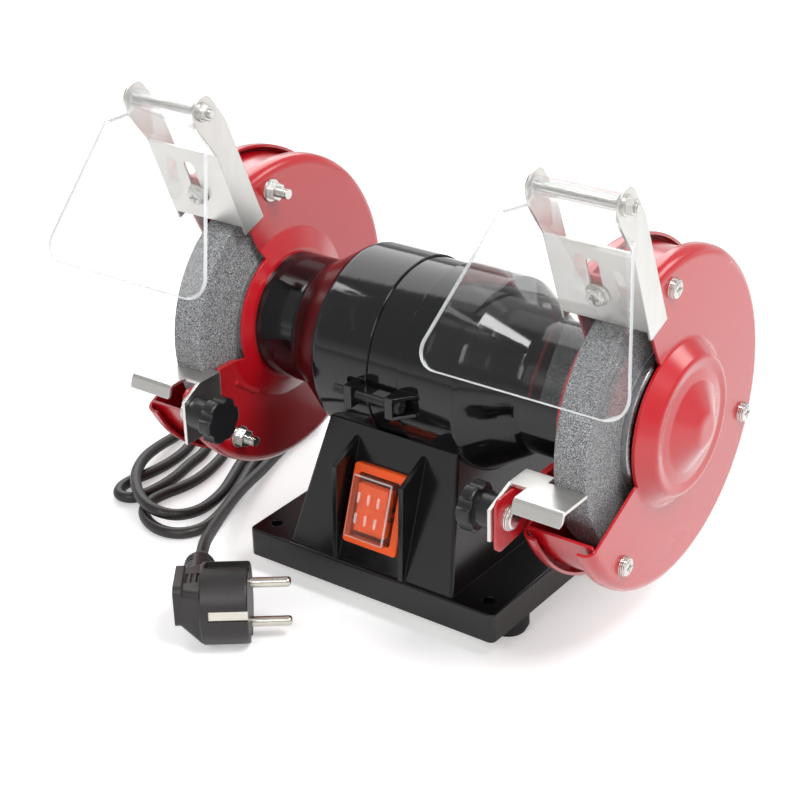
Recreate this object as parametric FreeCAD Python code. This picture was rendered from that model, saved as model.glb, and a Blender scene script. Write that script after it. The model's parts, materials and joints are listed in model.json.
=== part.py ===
import FreeCAD, Part
import math
import os

# Bench grinder in millimetres. The shaft runs along X, the front faces -Y and the bench is z = 0.
# The model is drawn with the shaft axis at y = 0 and moved to its origin when it is written.

# Clearances
RUNNING_FIT = 0.05
SEAT_GAP = 0.1
MOVING_GAP = 0.3
SCREW_PLAY = 0.2

# Screws, nuts and washers, as ratios of the screw's radius
HEAD_R_RATIO = 1.8
HEAD_HEIGHT_RATIO = 1.2
NUT_FLATS_RATIO = 3.2
NUT_HEIGHT_RATIO = 1.6
WASHER_R_RATIO = 2.2
WASHER_T = 1.0

# Round edge and cross recess of a screw head, as shares of the head's height and radius
HEAD_ROUND_SHARE = 0.6
RECESS_ARM_SHARE = 0.55
RECESS_SLOT_SHARE = 0.12
RECESS_FLOOR_SHARE = 0.45

# Shaft, bearings and wheels
SHAFT_HEIGHT = 111.7
WHEEL_R = 62.5
WHEEL_WIDTH = 16.0
WHEEL_GUARD_GAP = 6.3
WHEEL_SHIFT = 4.0
ARBOR_R = 6.35
ARBOR_OVERHANG = 2.5
JOURNAL_R = 7.5
SHAFT_R = 9.0
BEARING_R = 17.5
BEARING_WIDTH = 11.0
BEARING_RACE = 3.3
BALL_R = 3.0
BALL_COUNT = 8
BLOTTER_T = 0.6
FLANGE_R = 36.0
FLANGE_T = 4.2
FLANGE_WEB = 3.0
FLANGE_HUB_R = 15.0
FLANGE_RIM = 3.5
FLANGE_SLOPE = 2.0
FLANGE_CHAMFER = 1.0
WHEEL_CHAMFER = 1.0
ARBOR_NUT_FLATS = 19.0
ARBOR_NUT_HEIGHT = 8.0

# Motor
MOTOR_R = 45.6
NECK_R = 31.0
SHELL_WALL = 2.0
STRIP_HALF = 8.5
STRIP_RECESS = 0.9
BARREL_END = 39.5
CONE_END = 62.5
NECK_END = 86.0
BEARING_BOSS_WALL = 3.0
SHELL_SHOULDER_ROUND = 6.0
SHELL_RIM_ROUND = 0.6
END_HOLE_R = 15.0
STATOR_HALF = 22.0
ROTOR_R = 24.0
ROTOR_HALF = 20.0
AIR_GAP = 0.5
END_RING_WIDTH = 7.0
END_RING_WALL = 9.5
WINDING_INNER_R = 29.0
WINDING_OUTER_R = 40.0
WINDING_LENGTH = 11.0
WINDING_ROUND = 4.0
TIE_REACH = 51.0
TIE_DROP = 2.5
TIE_SCREW_R = 2.0
TIE_TIP = 22.0
LUG_INNER = 9.5
LUG_WIDTH = 4.0
LUG_HEIGHT = 10.6
LUG_OVERHANG = 4.5
LUG_FLANGE_LENGTH = 10.7
LUG_FLANGE_TIP = 1.0
LUG_FLANGE_T = 1.5

# Wheel guards
GUARD_SHEET = 1.4
GUARD_R = 78.0
GUARD_WIDTH = 35.7
HUB_DISH = 4.3
DISH_DEPTH = 7.6
DISH_EDGE_ROUND = 5.0
BAND_R = 74.0
BAND_GAP = 0.3
CUT_TOP_DEG = 116.5
CUT_BOTTOM_DEG = 206.5
BAND_BOTTOM_DEG = 205.0
INNER_HUB_HOLE_R = 16.0
INNER_HUB_R = 33.0
INNER_COLLAR_R = 43.0
INNER_CUT_R = 38.0
COVER_HUB_BASE_R = 38.0
COVER_HUB_TOP_R = 31.0
COVER_HUB_RISE = 8.0
COVER_DISH_R = 26.0
COVER_DISH_DEPTH = 0.8
COVER_DOME_R = 21.0
COVER_DOME_FLAT_R = 7.0
COVER_DOME_ROUND = 9.0
PRESS_ROUND = 3.0
COVER_DOME_RISE = 7.0
COVER_CUT_MARGIN = 0.5
COVER_BOLT_RING_R = 66.6
COVER_BOLT_DEGREES = (97.5, 230.0, 341.0)
COVER_BOLT_R = 2.5
COVER_BOLT_END = 6.0
GUARD_SCREW_RING_R = 25.0
GUARD_SCREW_DEGREES = (90.0, 210.0, 330.0)
GUARD_SCREW_R = 2.0
GUARD_SCREW_GRIP = 6.0

# Ear of the inner guard, which carries the tool rest
EAR_JOGGLE = 2.3
EAR_BEND_Y = 58.0
EAR_BEND_RUN = 3.5
RIGHT_EAR_FRONT = 86.0
LEFT_EAR_FRONT = 81.0
EAR_BOTTOM_Z = 75.0
EAR_ROOT_Y = 40.0
EAR_ROOT_BOTTOM_Z = 86.0
EMBOSS_START = (-43.0, 89.0)
EMBOSS_END = (-28.0, 78.0)
EMBOSS_WIDTH = 2.0
EMBOSS_RISE = 1.0
EAR_HEEL_Y = 69.0
EAR_HEEL_RISE = 1.8
EAR_CORNER = 4.0
EAR_TOP_GAP = 0.6
LIP_START_Y = 41.0
LIP_END_Y = 53.0
LIP_WIDTH = 1.6

# Tool rest
REST_SHEET = 1.6
REST_TOP_Z = 103.0
REST_WHEEL_GAP = 1.5
REST_DEPTH = 18.6
REST_END_SETBACK = 6.5
REST_TONGUE = 5.5
REST_NOTCH_DEPTH = 10.0
REST_NOTCH_WIDTH = 7.5
REST_LIP = 6.2
REST_LIP_SPLAY = 2.5
REST_LIP_CORNER = 3.5
REST_BEND = 2.6
REST_BOLT_Y = 76.0
REST_BOLT_Z = 89.0
REST_BOLT_R = 3.0
REST_BOLT_HEAD_R = 6.0
REST_BOLT_HEAD_HEIGHT = 3.0
REST_BOLT_HEAD_ROUND = 2.7
REST_TRAVEL = 6.0
TAB_CORNER_DROP = 6.0
RIGHT_TAB = (88.0, 82.0)
LEFT_TAB = (83.5, 75.0)
KNOB_NECK_R = 7.8
KNOB_NECK_LENGTH = 10.0
KNOB_R = 11.3
KNOB_LENGTH = 7.0
KNOB_LOBES = 6
KNOB_NOTCH_R = 3.2
KNOB_NOTCH_DEPTH = 2.0
KNOB_EDGE_ROUND = 1.5
KNOB_CAP = 3.5

# Spark bracket: a channel whose web leans forward, with the rod through its two ears
BRACKET_LEAN_DEG = 20.8
BRACKET_WEB_OFFSET = 11.5
BRACKET_WHEEL_GAP = 2.6
BRACKET_SHEET = 1.2
BRACKET_WIDTH = 42.4
BRACKET_HEIGHT = 42.2
BRACKET_WING = 14.0
BRACKET_WING_DROP = 4.4
BRACKET_SLOT_WIDTH = 6.0
BRACKET_SLOT_TOP = 8.0
BRACKET_SCREW_RISE = 15.8
BRACKET_TRAVEL = 4.0
BRACKET_SCREW_R = 2.5
BRACKET_TAB_WIDTH = 18.0
BRACKET_TAB_OVER = 8.0
EAR_TIP_R = 6.4
ROD_RISE = 23.8
ROD_SETBACK = 1.5
ROD_R = 2.0
ROD_END = 1.5
SHIELD_FLARE_GAP = 2.0
SHIELD_SHEET = 2.5
SHIELD_BARREL_R = 4.5
SHIELD_STRIP = 15.0
SHIELD_STRIP_DEG = 45.0
SHIELD_PANEL = 67.5
SHIELD_PANEL_DEG = 59.0
SHIELD_TOP_WIDTH = 62.0
SHIELD_BOTTOM_WIDTH = 102.0
SHIELD_CORNER = 9.0
SHIELD_EDGE_ROUND = 0.7
LEFT_SHIELD_HANG_DEG = 5.0

# Base
FOOT_HEIGHT = 10.0
FOOT_R = 10.0
FOOT_INSET_X = 10.5
FOOT_INSET_Y = 28.5
FOOT_CHAMFER = 3.0
FOOT_SCREW_R = 2.0
FOOT_SCREW_LENGTH = 13.0
FOOT_RECESS = 4.5
SLAB_LENGTH = 142.0
SLAB_DEPTH = 123.0
SLAB_HEIGHT = 14.5
SLAB_CORNER = 3.0
SLAB_EDGE_ROUND = 1.2
BASE_WALL = 2.5
BOSS_R = 5.5
BENCH_HOLE_R = 3.0
BENCH_HOLE_INSET_X = 9.0
BENCH_HOLE_INSET_Y = 10.5
BOTTOM_PLATE_T = 1.2
PEDESTAL_LENGTH = 94.0
PEDESTAL_STEP = 2.5
PEDESTAL_TOP_LENGTH = 73.0
PEDESTAL_EDGE_ROUND = 1.5
SADDLE_EDGE_DROP = 26.0
SADDLE_OVERRUN = 3.0
SADDLE_SCREW_X = 30.0
SADDLE_SCREW_R = 2.5
SADDLE_SCREW_LENGTH = 6.5
FIN_SPACING = 38.0
FIN_T = 2.5
FIN_KNEE_SETBACK = 1.0
FIN_KNEE_Z = 72.0
FIN_TOP_Z = 81.0
FIN_TOE_SETBACK = 1.0
CAPACITOR_R = 14.0
CAPACITOR_LENGTH = 56.0
CAPACITOR_Y = 15.0
CLIP_T = 1.0
CLIP_WIDTH = 12.0
CLIP_FOOT = 9.0

# Switch on the leaning front face of the pedestal
SWITCH_RISE = 9.7
BEZEL_WIDTH = 31.0
BEZEL_HEIGHT = 38.5
BEZEL_PROUD = 4.0
BEZEL_CORNER = 2.0
BEZEL_EDGE_ROUND = 1.0
BEZEL_FRAME = 4.0
SWITCH_BODY_DEPTH = 20.0
SWITCH_BODY_INSET = 2.0
BOOT_WALL = 0.8
BOOT_HEIGHT = 10.0
BOOT_CHAMFER = 1.5
MARK_LENGTH = 5.0
MARK_WIDTH = 1.2
MARK_RISE = 0.5
MARK_PITCH_X = 5.6
MARK_PITCH_Y = 10.0
ROCKER_WIDTH = 16.8
ROCKER_LENGTH = 23.0
ROCKER_TILT_DEG = 6.0
ROCKER_PIVOT_Z = 3.0
ROCKER_PIVOT_R = 1.2
ROCKER_END_BOTTOM = 2.8
ROCKER_END_TOP = 7.0
ROCKER_MIDDLE_BOTTOM = 0.9
ROCKER_MIDDLE_TOP = 6.2
SWITCH_EAR_T = 1.2
SWITCH_EAR_HALF = 3.5
SWITCH_EAR_HEIGHT = 5.2

# Gland and plug
GLAND_X = -30.0
GLAND_FLANGE_R = 6.0
GLAND_FLANGE_T = 2.0
GLAND_ROOT_R = 5.2
GLAND_TIP_R = 4.2
GLAND_LENGTH = 25.0
GLAND_STEM_R = 3.9
GLAND_COLLAR = 0.7
GLAND_COLLAR_T = 1.5
PLUG_FACE_X = -32.8
PLUG_FACE_Y = -106.1
PLUG_TURN_DEG = 36.87
PLUG_ROLL_DEG = -12.0
PLUG_R = 19.0
PLUG_DEPTH = 22.0
PLUG_EDGE_ROUND = 1.0
PLUG_NOTCH_WIDTH = 9.0
PLUG_NOTCH_DEPTH = 3.5
PLUG_NOTCH_END = 2.0
PLUG_GRIP_LENGTH = 12.0
PLUG_GRIP_ROOT = (15.0, 14.0)
PLUG_GRIP_TIP = (10.5, 9.0)
PLUG_GRIP_RISE = 4.5
PLUG_GRIP_CORNER = 4.0
PLUG_RIM_LENGTH = 4.0
PLUG_RIM_RISE = 1.5
PLUG_FLUTES = 3
PLUG_FLUTE_R = 0.7
PLUG_FLUTE_LENGTH = 8.0
PLUG_FLUTE_PITCH = 2.6
PLUG_RELIEF_BACK = 26.0
PLUG_RELIEF_REACH = 40.5
PLUG_RELIEF_R = 7.5
PLUG_RELIEF_TIP_R = 4.0
PLUG_RELIEF_DOME = 7.0
PLUG_RELIEF_GROOVES = 4
PLUG_GROOVE_PITCH = 2.6
PLUG_GROOVE_WIDTH = 1.1
PLUG_GROOVE_DEPTH = 1.2
PLUG_SPINE_HALF = 2.2
PIN_R = 2.4
PIN_LENGTH = 19.0
PIN_SPACING = 19.0
PIN_TIP_ROUND = 1.6
EARTH_SLOT_WIDTH = 5.0
EARTH_SLOT_DEPTH = 2.0
EARTH_CLIP_WIDTH = 4.4
EARTH_CLIP_T = 0.8
EARTH_CLIP_LENGTH = 18.0

# Cord: the points between the gland and the plug, with the shaft at y = 0
CORD_R = 3.0
CORD_EXIT = 12.0
CORD_BEND_SHARE = 0.45
CORD_STEP = 2.0
CORD_SKIP = 25.0
FLOOR_LAY = CORD_R + 0.2
CORD_ROUTE = [
    (-36.0, 108.0, 11.0), (-50.0, 117.0, 5.5), (-70.0, 121.5, FLOOR_LAY),
    (-95.0, 121.0, FLOOR_LAY), (-122.0, 115.0, FLOOR_LAY), (-150.0, 108.0, FLOOR_LAY),
    (-186.0, 101.0, FLOOR_LAY), (-209.0, 78.0, FLOOR_LAY), (-209.0, 58.0, FLOOR_LAY),
    (-203.0, 40.0, FLOOR_LAY), (-194.0, 22.0, FLOOR_LAY), (-190.0, 2.0, 6.5),
    (-183.0, -19.0, 9.8), (-173.0, -36.0, 9.8), (-157.0, -50.0, 9.8),
    (-141.0, -57.0, 9.8), (-130.0, -52.0, 7.0), (-126.5, -37.0, 4.0),
    (-129.5, -17.0, FLOOR_LAY), (-137.5, 2.0, FLOOR_LAY), (-144.0, 16.0, FLOOR_LAY),
    (-150.0, 34.0, FLOOR_LAY), (-152.0, 53.0, FLOOR_LAY), (-152.0, 69.5, FLOOR_LAY),
    (-162.5, 80.0, FLOOR_LAY), (-177.5, 80.0, FLOOR_LAY), (-188.0, 69.5, FLOOR_LAY),
    (-187.0, 53.0, FLOOR_LAY), (-172.0, 36.0, FLOOR_LAY), (-160.0, 24.0, FLOOR_LAY),
    (-154.0, 7.0, FLOOR_LAY), (-151.0, -9.0, FLOOR_LAY), (-152.0, -22.0, FLOOR_LAY),
    (-155.5, -33.0, FLOOR_LAY), (-156.5, -44.0, FLOOR_LAY), (-151.0, -54.0, FLOOR_LAY),
    (-139.0, -61.0, FLOOR_LAY), (-127.0, -62.0, FLOOR_LAY), (-118.0, -57.0, FLOOR_LAY),
    (-114.0, -47.0, FLOOR_LAY), (-116.0, -34.0, FLOOR_LAY), (-121.5, -18.0, FLOOR_LAY),
    (-129.5, 1.0, FLOOR_LAY), (-136.5, 16.0, FLOOR_LAY), (-142.0, 36.0, FLOOR_LAY),
    (-145.0, 55.0, FLOOR_LAY), (-145.0, 72.4, FLOOR_LAY), (-159.6, 87.0, FLOOR_LAY),
    (-180.4, 87.0, FLOOR_LAY), (-195.0, 72.4, FLOOR_LAY), (-195.0, 54.0, FLOOR_LAY),
    (-178.0, 31.0, FLOOR_LAY), (-168.0, 14.0, FLOOR_LAY), (-166.3, 0.0, FLOOR_LAY),
    (-163.0, -14.0, FLOOR_LAY), (-162.0, -26.0, FLOOR_LAY), (-163.3, -39.0, FLOOR_LAY),
    (-166.5, -46.2, FLOOR_LAY), (-174.8, -47.4, FLOOR_LAY), (-179.8, -40.5, FLOOR_LAY),
    (-180.0, -31.0, FLOOR_LAY), (-177.0, -20.0, FLOOR_LAY), (-176.0, -6.0, FLOOR_LAY),
    (-178.0, 10.0, FLOOR_LAY), (-186.0, 28.0, FLOOR_LAY), (-197.0, 44.0, FLOOR_LAY),
    (-202.0, 58.0, FLOOR_LAY), (-202.0, 75.3, FLOOR_LAY), (-183.2, 94.0, FLOOR_LAY),
    (-156.8, 94.0, FLOOR_LAY), (-138.0, 75.3, FLOOR_LAY), (-138.0, 56.0, FLOOR_LAY),
    (-135.0, 37.0, FLOOR_LAY), (-129.0, 18.0, 4.0), (-124.5, 5.0, 6.0),
    (-117.0, -17.0, 9.0), (-107.0, -41.0, 11.0), (-95.5, -63.0, 14.5),
]

X_AXIS = FreeCAD.Vector(1, 0, 0)
Y_AXIS = FreeCAD.Vector(0, 1, 0)
Z_AXIS = FreeCAD.Vector(0, 0, 1)
SHAFT_POINT = FreeCAD.Vector(0, 0, SHAFT_HEIGHT)


# Shape helpers

def vec(x, y, z):
    return FreeCAD.Vector(x, y, z)


def fused(first, *others):
    return first.fuse(list(others)).removeSplitter()


def box(x0, x1, y0, y1, z0, z1):
    return Part.makeBox(x1 - x0, y1 - y0, z1 - z0, vec(x0, y0, z0))


def rod_x(radius, x0, x1, y=0.0, z=SHAFT_HEIGHT):
    return Part.makeCylinder(radius, x1 - x0, vec(x0, y, z), X_AXIS)


def rod_z(radius, z0, z1, x=0.0, y=0.0):
    return Part.makeCylinder(radius, z1 - z0, vec(x, y, z0), Z_AXIS)


def corner_arc(before, corner, after, radius):
    """Start, middle and end of the tangent arc that rounds a corner."""
    to_before = (before - corner).normalize()
    to_after = (after - corner).normalize()
    half = to_before.getAngle(to_after) / 2
    reach = radius / math.tan(half)
    inward = (to_before + to_after).normalize()
    middle = corner + inward * (radius / math.sin(half) - radius)
    return corner + to_before * reach, middle, corner + to_after * reach


def bent_wire(points, radii, closed):
    """Straight runs joined by tangent arcs, with one radius for each point, 0 where it is sharp."""
    count = len(points)
    spans = []
    for index, corner in enumerate(points):
        if radii[index] == 0:
            spans.append((corner, None, corner))
        else:
            spans.append(corner_arc(points[index - 1], corner, points[(index + 1) % count], radii[index]))
    edges = []
    for index, (start, middle, end) in enumerate(spans):
        if middle is not None:
            edges.append(Part.Arc(start, middle, end).toShape())
        if closed or index < count - 1:
            following = spans[(index + 1) % count][0]
            if end.distanceToPoint(following) > 1e-6:
                edges.append(Part.LineSegment(end, following).toShape())
    return Part.Wire(edges)


def outline(points, place):
    """Face inside a closed outline of (u, v) or (u, v, corner radius), set in space by place(u, v)."""
    corners = [place(point[0], point[1]) for point in points]
    radii = [point[2] if len(point) > 2 else 0 for point in points]
    return Part.Face(bent_wire(corners, radii, True))


def shaft_plane(x, r):
    return vec(x, r, SHAFT_HEIGHT)


def side_plane(y, z):
    return vec(0, y, z)


def plan(x, y):
    return vec(x, y, 0)


def turned(points):
    """Solid of revolution about the shaft from an outline of (x, radius)."""
    return outline(points, shaft_plane).revolve(SHAFT_POINT, X_AXIS, 360)


def side_plate(points, x0, x1):
    """Prism along X from an outline of (y, z)."""
    return outline(points, side_plane).translated(vec(x0, 0, 0)).extrude(vec(x1 - x0, 0, 0))


def plan_plate(points, z0, z1):
    """Prism along Z from an outline of (x, y)."""
    return outline(points, plan).translated(vec(0, 0, z0)).extrude(vec(0, 0, z1 - z0))


def rectangle(half_u, half_v, corner=0.0):
    return [(half_u, -half_v, corner), (half_u, half_v, corner),
            (-half_u, half_v, corner), (-half_u, -half_v, corner)]


def sheet_outline(path, thickness):
    """Outline of a bent sheet: the path of one skin and, to its left, the other skin."""
    count = len(path)
    normals = []
    for (u0, v0), (u1, v1) in zip([p[:2] for p in path], [p[:2] for p in path[1:]]):
        length = math.hypot(u1 - u0, v1 - v0)
        normals.append(((v0 - v1) / length, (u1 - u0) / length))
    other = []
    for index, point in enumerate(path):
        before = normals[max(index - 1, 0)]
        after = normals[min(index, count - 2)]
        share = thickness / (1 + before[0] * after[0] + before[1] * after[1])
        radius = point[2] if len(point) > 2 else 0
        if radius:
            turn = before[0] * after[1] - before[1] * after[0]
            radius += thickness if turn < 0 else -thickness
        other.append((point[0] + (before[0] + after[0]) * share,
                      point[1] + (before[1] + after[1]) * share, radius))
    return list(path) + other[::-1]


def polar(radius, degrees):
    """(y, z) at an angle about the shaft, from the back (+Y) up towards the top."""
    angle = math.radians(degrees)
    return radius * math.cos(angle), SHAFT_HEIGHT + radius * math.sin(angle)


def sector(start_deg, end_deg, x0, x1):
    """Wedge about the shaft between two angles, reaching well past the guards."""
    reach = 3 * GUARD_R
    rim = [polar(reach, degrees) for degrees in (start_deg, (start_deg + end_deg) / 2, end_deg)]
    return side_plate([(0, SHAFT_HEIGHT)] + rim, x0, x1)


def placed(shape, at, turn):
    moved = shape.copy()
    moved.Placement = FreeCAD.Placement(at, turn).multiply(moved.Placement)
    return moved


def aimed(shape, at, direction):
    """Shape drawn along +Z, moved to a point and turned to a direction."""
    return placed(shape, at, FreeCAD.Rotation(Z_AXIS, direction))


def pan_screw(shank_r, length):
    """Screw along Z with its head above z = 0, its shank below and a cross recess in the head."""
    head_r = shank_r * HEAD_R_RATIO
    head_height = shank_r * HEAD_HEIGHT_RATIO
    head = Part.makeCylinder(head_r, head_height)
    head = head.makeFillet(head_height * HEAD_ROUND_SHARE, [head.Edges[0]])
    arm = head_r * RECESS_ARM_SHARE
    slot = head_r * RECESS_SLOT_SHARE
    recess_floor = head_height * RECESS_FLOOR_SHARE
    for half_x, half_y in ((arm, slot), (slot, arm)):
        head = head.cut(box(-half_x, half_x, -half_y, half_y, recess_floor, head_height))
    return fused(head, rod_z(shank_r, -length, 0))


def hex_nut(across_flats, height, bore_r):
    """Nut along Z standing on z = 0."""
    corner_r = across_flats / math.sqrt(3)
    corners = [(corner_r * math.cos(math.radians(60 * i)), corner_r * math.sin(math.radians(60 * i)))
               for i in range(6)]
    return plan_plate(corners, 0, height).cut(rod_z(bore_r, 0, height))


def nut_for(screw_r):
    return hex_nut(screw_r * NUT_FLATS_RATIO, screw_r * NUT_HEIGHT_RATIO, screw_r + RUNNING_FIT)


def washer_for(screw_r):
    """Washer along Z standing on z = 0."""
    return rod_z(screw_r * WASHER_R_RATIO, 0, WASHER_T).cut(rod_z(screw_r + SCREW_PLAY, 0, WASHER_T))


def mirrored(shape):
    """The same piece on the other side of the motor."""
    return shape.mirror(vec(0, 0, 0), X_AXIS)


def both_sides(shapes):
    return list(shapes) + [mirrored(shape) for shape in shapes]


def four_corners(x, y):
    return [(sx * x, sy * y) for sx in (1, -1) for sy in (1, -1)]


# Places worked out from the driving dimensions

GUARD_INNER = NECK_END + HUB_DISH
GUARD_OUTER = GUARD_INNER + GUARD_WIDTH
WHEEL_INNER_FACE = GUARD_INNER + GUARD_SHEET + WHEEL_GUARD_GAP
WHEEL_OUTER_FACE = WHEEL_INNER_FACE + WHEEL_WIDTH
SHOULDER_X = WHEEL_INNER_FACE - BLOTTER_T - FLANGE_T
ARBOR_NUT_X = WHEEL_OUTER_FACE + BLOTTER_T + FLANGE_T
ARBOR_END = ARBOR_NUT_X + ARBOR_NUT_HEIGHT + ARBOR_OVERHANG
BEARING_END = NECK_END - SHELL_WALL
BEARING_START = BEARING_END - BEARING_WIDTH
STATOR_R = MOTOR_R - STRIP_RECESS
TIE_SEAT_X = LUG_INNER + LUG_WIDTH
EAR_TOP_Z = REST_TOP_Z - REST_SHEET - EAR_TOP_GAP
EAR_X = GUARD_INNER - EAR_JOGGLE
REST_TAB_OUTER = EAR_X - MOVING_GAP
REST_TAB_INNER = REST_TAB_OUTER - REST_SHEET
REST_BACK = math.sqrt(WHEEL_R ** 2 - (SHAFT_HEIGHT - REST_TOP_Z) ** 2) + REST_WHEEL_GAP
REST_FRONT = REST_BACK + REST_DEPTH
REST_END = GUARD_OUTER - REST_END_SETBACK
KNOB_FACE = REST_TAB_INNER - MOVING_GAP
KNOB_END = KNOB_FACE - KNOB_NECK_LENGTH - KNOB_LENGTH
DRUM_CENTRE = (GUARD_INNER + GUARD_OUTER) / 2
WEB_BOTTOM = math.sqrt((WHEEL_R + BRACKET_WHEEL_GAP) ** 2 - BRACKET_WEB_OFFSET ** 2)
WEB_TOP = WEB_BOTTOM + BRACKET_HEIGHT
BRACKET_SCREW_S = WEB_BOTTOM + BRACKET_SCREW_RISE
BRACKET_TAB_FRONT = BRACKET_WEB_OFFSET - BRACKET_SHEET - MOVING_GAP
ROD_S = WEB_TOP + ROD_RISE
ROD_FORWARD = BRACKET_WEB_OFFSET - ROD_SETBACK
BARREL_HALF = BRACKET_WIDTH / 2 - BRACKET_SHEET - MOVING_GAP
SLAB_TOP = FOOT_HEIGHT + SLAB_HEIGHT
PLATE_TOP = FOOT_HEIGHT + BOTTOM_PLATE_T
BENCH_HOLE_X = SLAB_LENGTH / 2 - BENCH_HOLE_INSET_X
BENCH_HOLE_Y = SLAB_DEPTH / 2 - BENCH_HOLE_INSET_Y
FOOT_X = SLAB_LENGTH / 2 - FOOT_INSET_X
FOOT_Y = SLAB_DEPTH / 2 - FOOT_INSET_Y
PEDESTAL_DEPTH = SLAB_DEPTH - 2 * PEDESTAL_STEP
FIN_KNEE_Y = PEDESTAL_DEPTH / 2 - FIN_KNEE_SETBACK
FIN_TOE_Y = SLAB_DEPTH / 2 - FIN_TOE_SETBACK
SADDLE_R = MOTOR_R + SEAT_GAP
SADDLE_EDGE_Z = SHAFT_HEIGHT - SADDLE_EDGE_DROP
SADDLE_EDGE_Y = math.sqrt(SADDLE_R ** 2 - SADDLE_EDGE_DROP ** 2)
GLAND_Z = FOOT_HEIGHT + SLAB_HEIGHT / 2
CAPACITOR_Z = PLATE_TOP + CAPACITOR_R + SEAT_GAP
PLUG_Z = PLUG_R


# Rotor: everything that turns with the shaft

def shaft_half(shift):
    """Outline of one half of the shaft, whose arbor is moved outwards."""
    shoulder, end = SHOULDER_X + shift, ARBOR_END + shift
    return [(BEARING_START, SHAFT_R), (BEARING_START, JOURNAL_R), (shoulder, JOURNAL_R),
            (shoulder, ARBOR_R), (end, ARBOR_R), (end, 0)]


def shaft():
    left = [(-x, r) for x, r in reversed(shaft_half(-WHEEL_SHIFT))]
    return turned(left + shaft_half(WHEEL_SHIFT))


def on_arbors(shapes):
    """The same pieces on both arbors, which sit to the right of the middle of their guards."""
    return [shape.translated(vec(WHEEL_SHIFT, 0, 0)) for shape in both_sides(shapes)]


def ring(x0, x1, inner_r, outer_r, corner=0.0):
    """Ring about the shaft, with its two outer edges rounded."""
    return turned([(x0, inner_r), (x1, inner_r), (x1, outer_r, corner), (x0, outer_r, corner)])


def wheels():
    return on_arbors([ring(WHEEL_INNER_FACE, WHEEL_OUTER_FACE, ARBOR_R + RUNNING_FIT, WHEEL_R, WHEEL_CHAMFER)])


def flange(face_x, outward):
    """Pressed flange: a rim and a hub stand proud of its web, away from the wheel."""
    bore = ARBOR_R + RUNNING_FIT
    rim_r = FLANGE_R - FLANGE_RIM
    steps = [(0, bore), (0, FLANGE_R), (FLANGE_T - FLANGE_CHAMFER, FLANGE_R),
             (FLANGE_T, FLANGE_R - FLANGE_CHAMFER), (FLANGE_T, rim_r), (FLANGE_WEB, rim_r - FLANGE_SLOPE),
             (FLANGE_WEB, FLANGE_HUB_R + FLANGE_SLOPE), (FLANGE_T, FLANGE_HUB_R), (FLANGE_T, bore)]
    return turned([(face_x + outward * step, r) for step, r in steps])


def wheel_flanges():
    return on_arbors([flange(WHEEL_INNER_FACE - BLOTTER_T, -1), flange(WHEEL_OUTER_FACE + BLOTTER_T, 1)])


def wheel_blotters():
    bore = ARBOR_R + RUNNING_FIT
    return on_arbors([ring(WHEEL_INNER_FACE - BLOTTER_T, WHEEL_INNER_FACE, bore, FLANGE_R),
                      ring(WHEEL_OUTER_FACE, WHEEL_OUTER_FACE + BLOTTER_T, bore, FLANGE_R)])


def arbor_nuts():
    nut = hex_nut(ARBOR_NUT_FLATS, ARBOR_NUT_HEIGHT, ARBOR_R + RUNNING_FIT)
    return on_arbors([aimed(nut, vec(ARBOR_NUT_X, 0, SHAFT_HEIGHT), X_AXIS)])


def bearing_pitch_r():
    return (JOURNAL_R + BEARING_R) / 2


def bearing_groove(gap):
    centre = vec((BEARING_START + BEARING_END) / 2, 0, SHAFT_HEIGHT)
    return Part.makeTorus(bearing_pitch_r(), BALL_R + gap, centre, X_AXIS)


def bearing_inner_rings():
    inner = ring(BEARING_START, BEARING_END, JOURNAL_R + RUNNING_FIT, JOURNAL_R + BEARING_RACE)
    return both_sides([inner.cut(bearing_groove(RUNNING_FIT))])


def bearing_outer_rings():
    outer = ring(BEARING_START, BEARING_END, BEARING_R - BEARING_RACE, BEARING_R)
    return both_sides([outer.cut(bearing_groove(MOVING_GAP))])


def bearing_balls():
    middle = (BEARING_START + BEARING_END) / 2
    spots = [polar(bearing_pitch_r(), 360 * index / BALL_COUNT) for index in range(BALL_COUNT)]
    return both_sides([Part.makeSphere(BALL_R, vec(middle, y, z)) for y, z in spots])


def rotor_core():
    return ring(-ROTOR_HALF, ROTOR_HALF, SHAFT_R + RUNNING_FIT, ROTOR_R)


def rotor_end_rings():
    return both_sides([ring(ROTOR_HALF, ROTOR_HALF + END_RING_WIDTH, ROTOR_R - END_RING_WALL, ROTOR_R - AIR_GAP)])


# Motor

def stator_core():
    return ring(-STATOR_HALF, STATOR_HALF, ROTOR_R + AIR_GAP, STATOR_R)


def stator_windings():
    end = STATOR_HALF + WINDING_LENGTH
    return both_sides([turned([(STATOR_HALF, WINDING_INNER_R), (end, WINDING_INNER_R, WINDING_ROUND),
                               (end, WINDING_OUTER_R, WINDING_ROUND), (STATOR_HALF, WINDING_OUTER_R)])])


def half_turn(shape):
    """The same feature on the opposite side of the shaft."""
    other = shape.copy()
    other.rotate(SHAFT_POINT, X_AXIS, 180)
    return other


def lug_block(x0, x1, z0, z1):
    block = box(x0, x1, -TIE_REACH - LUG_OVERHANG, -NECK_R, z0, z1)
    return block.cut(rod_x(STATOR_R + SEAT_GAP, x0, x1))


def lug_flange(z0, z1):
    """Side of the channel: it tapers from the lug's front down to the barrel."""
    front = -TIE_REACH - LUG_OVERHANG
    end = LUG_INNER + LUG_FLANGE_LENGTH
    plate = plan_plate([(LUG_INNER, front), (TIE_SEAT_X, front), (end, -MOTOR_R - LUG_FLANGE_TIP), (end, -NECK_R),
                        (LUG_INNER, -NECK_R)], z0, z1)
    return plate.cut(rod_x(STATOR_R + SEAT_GAP, LUG_INNER, end))


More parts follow.
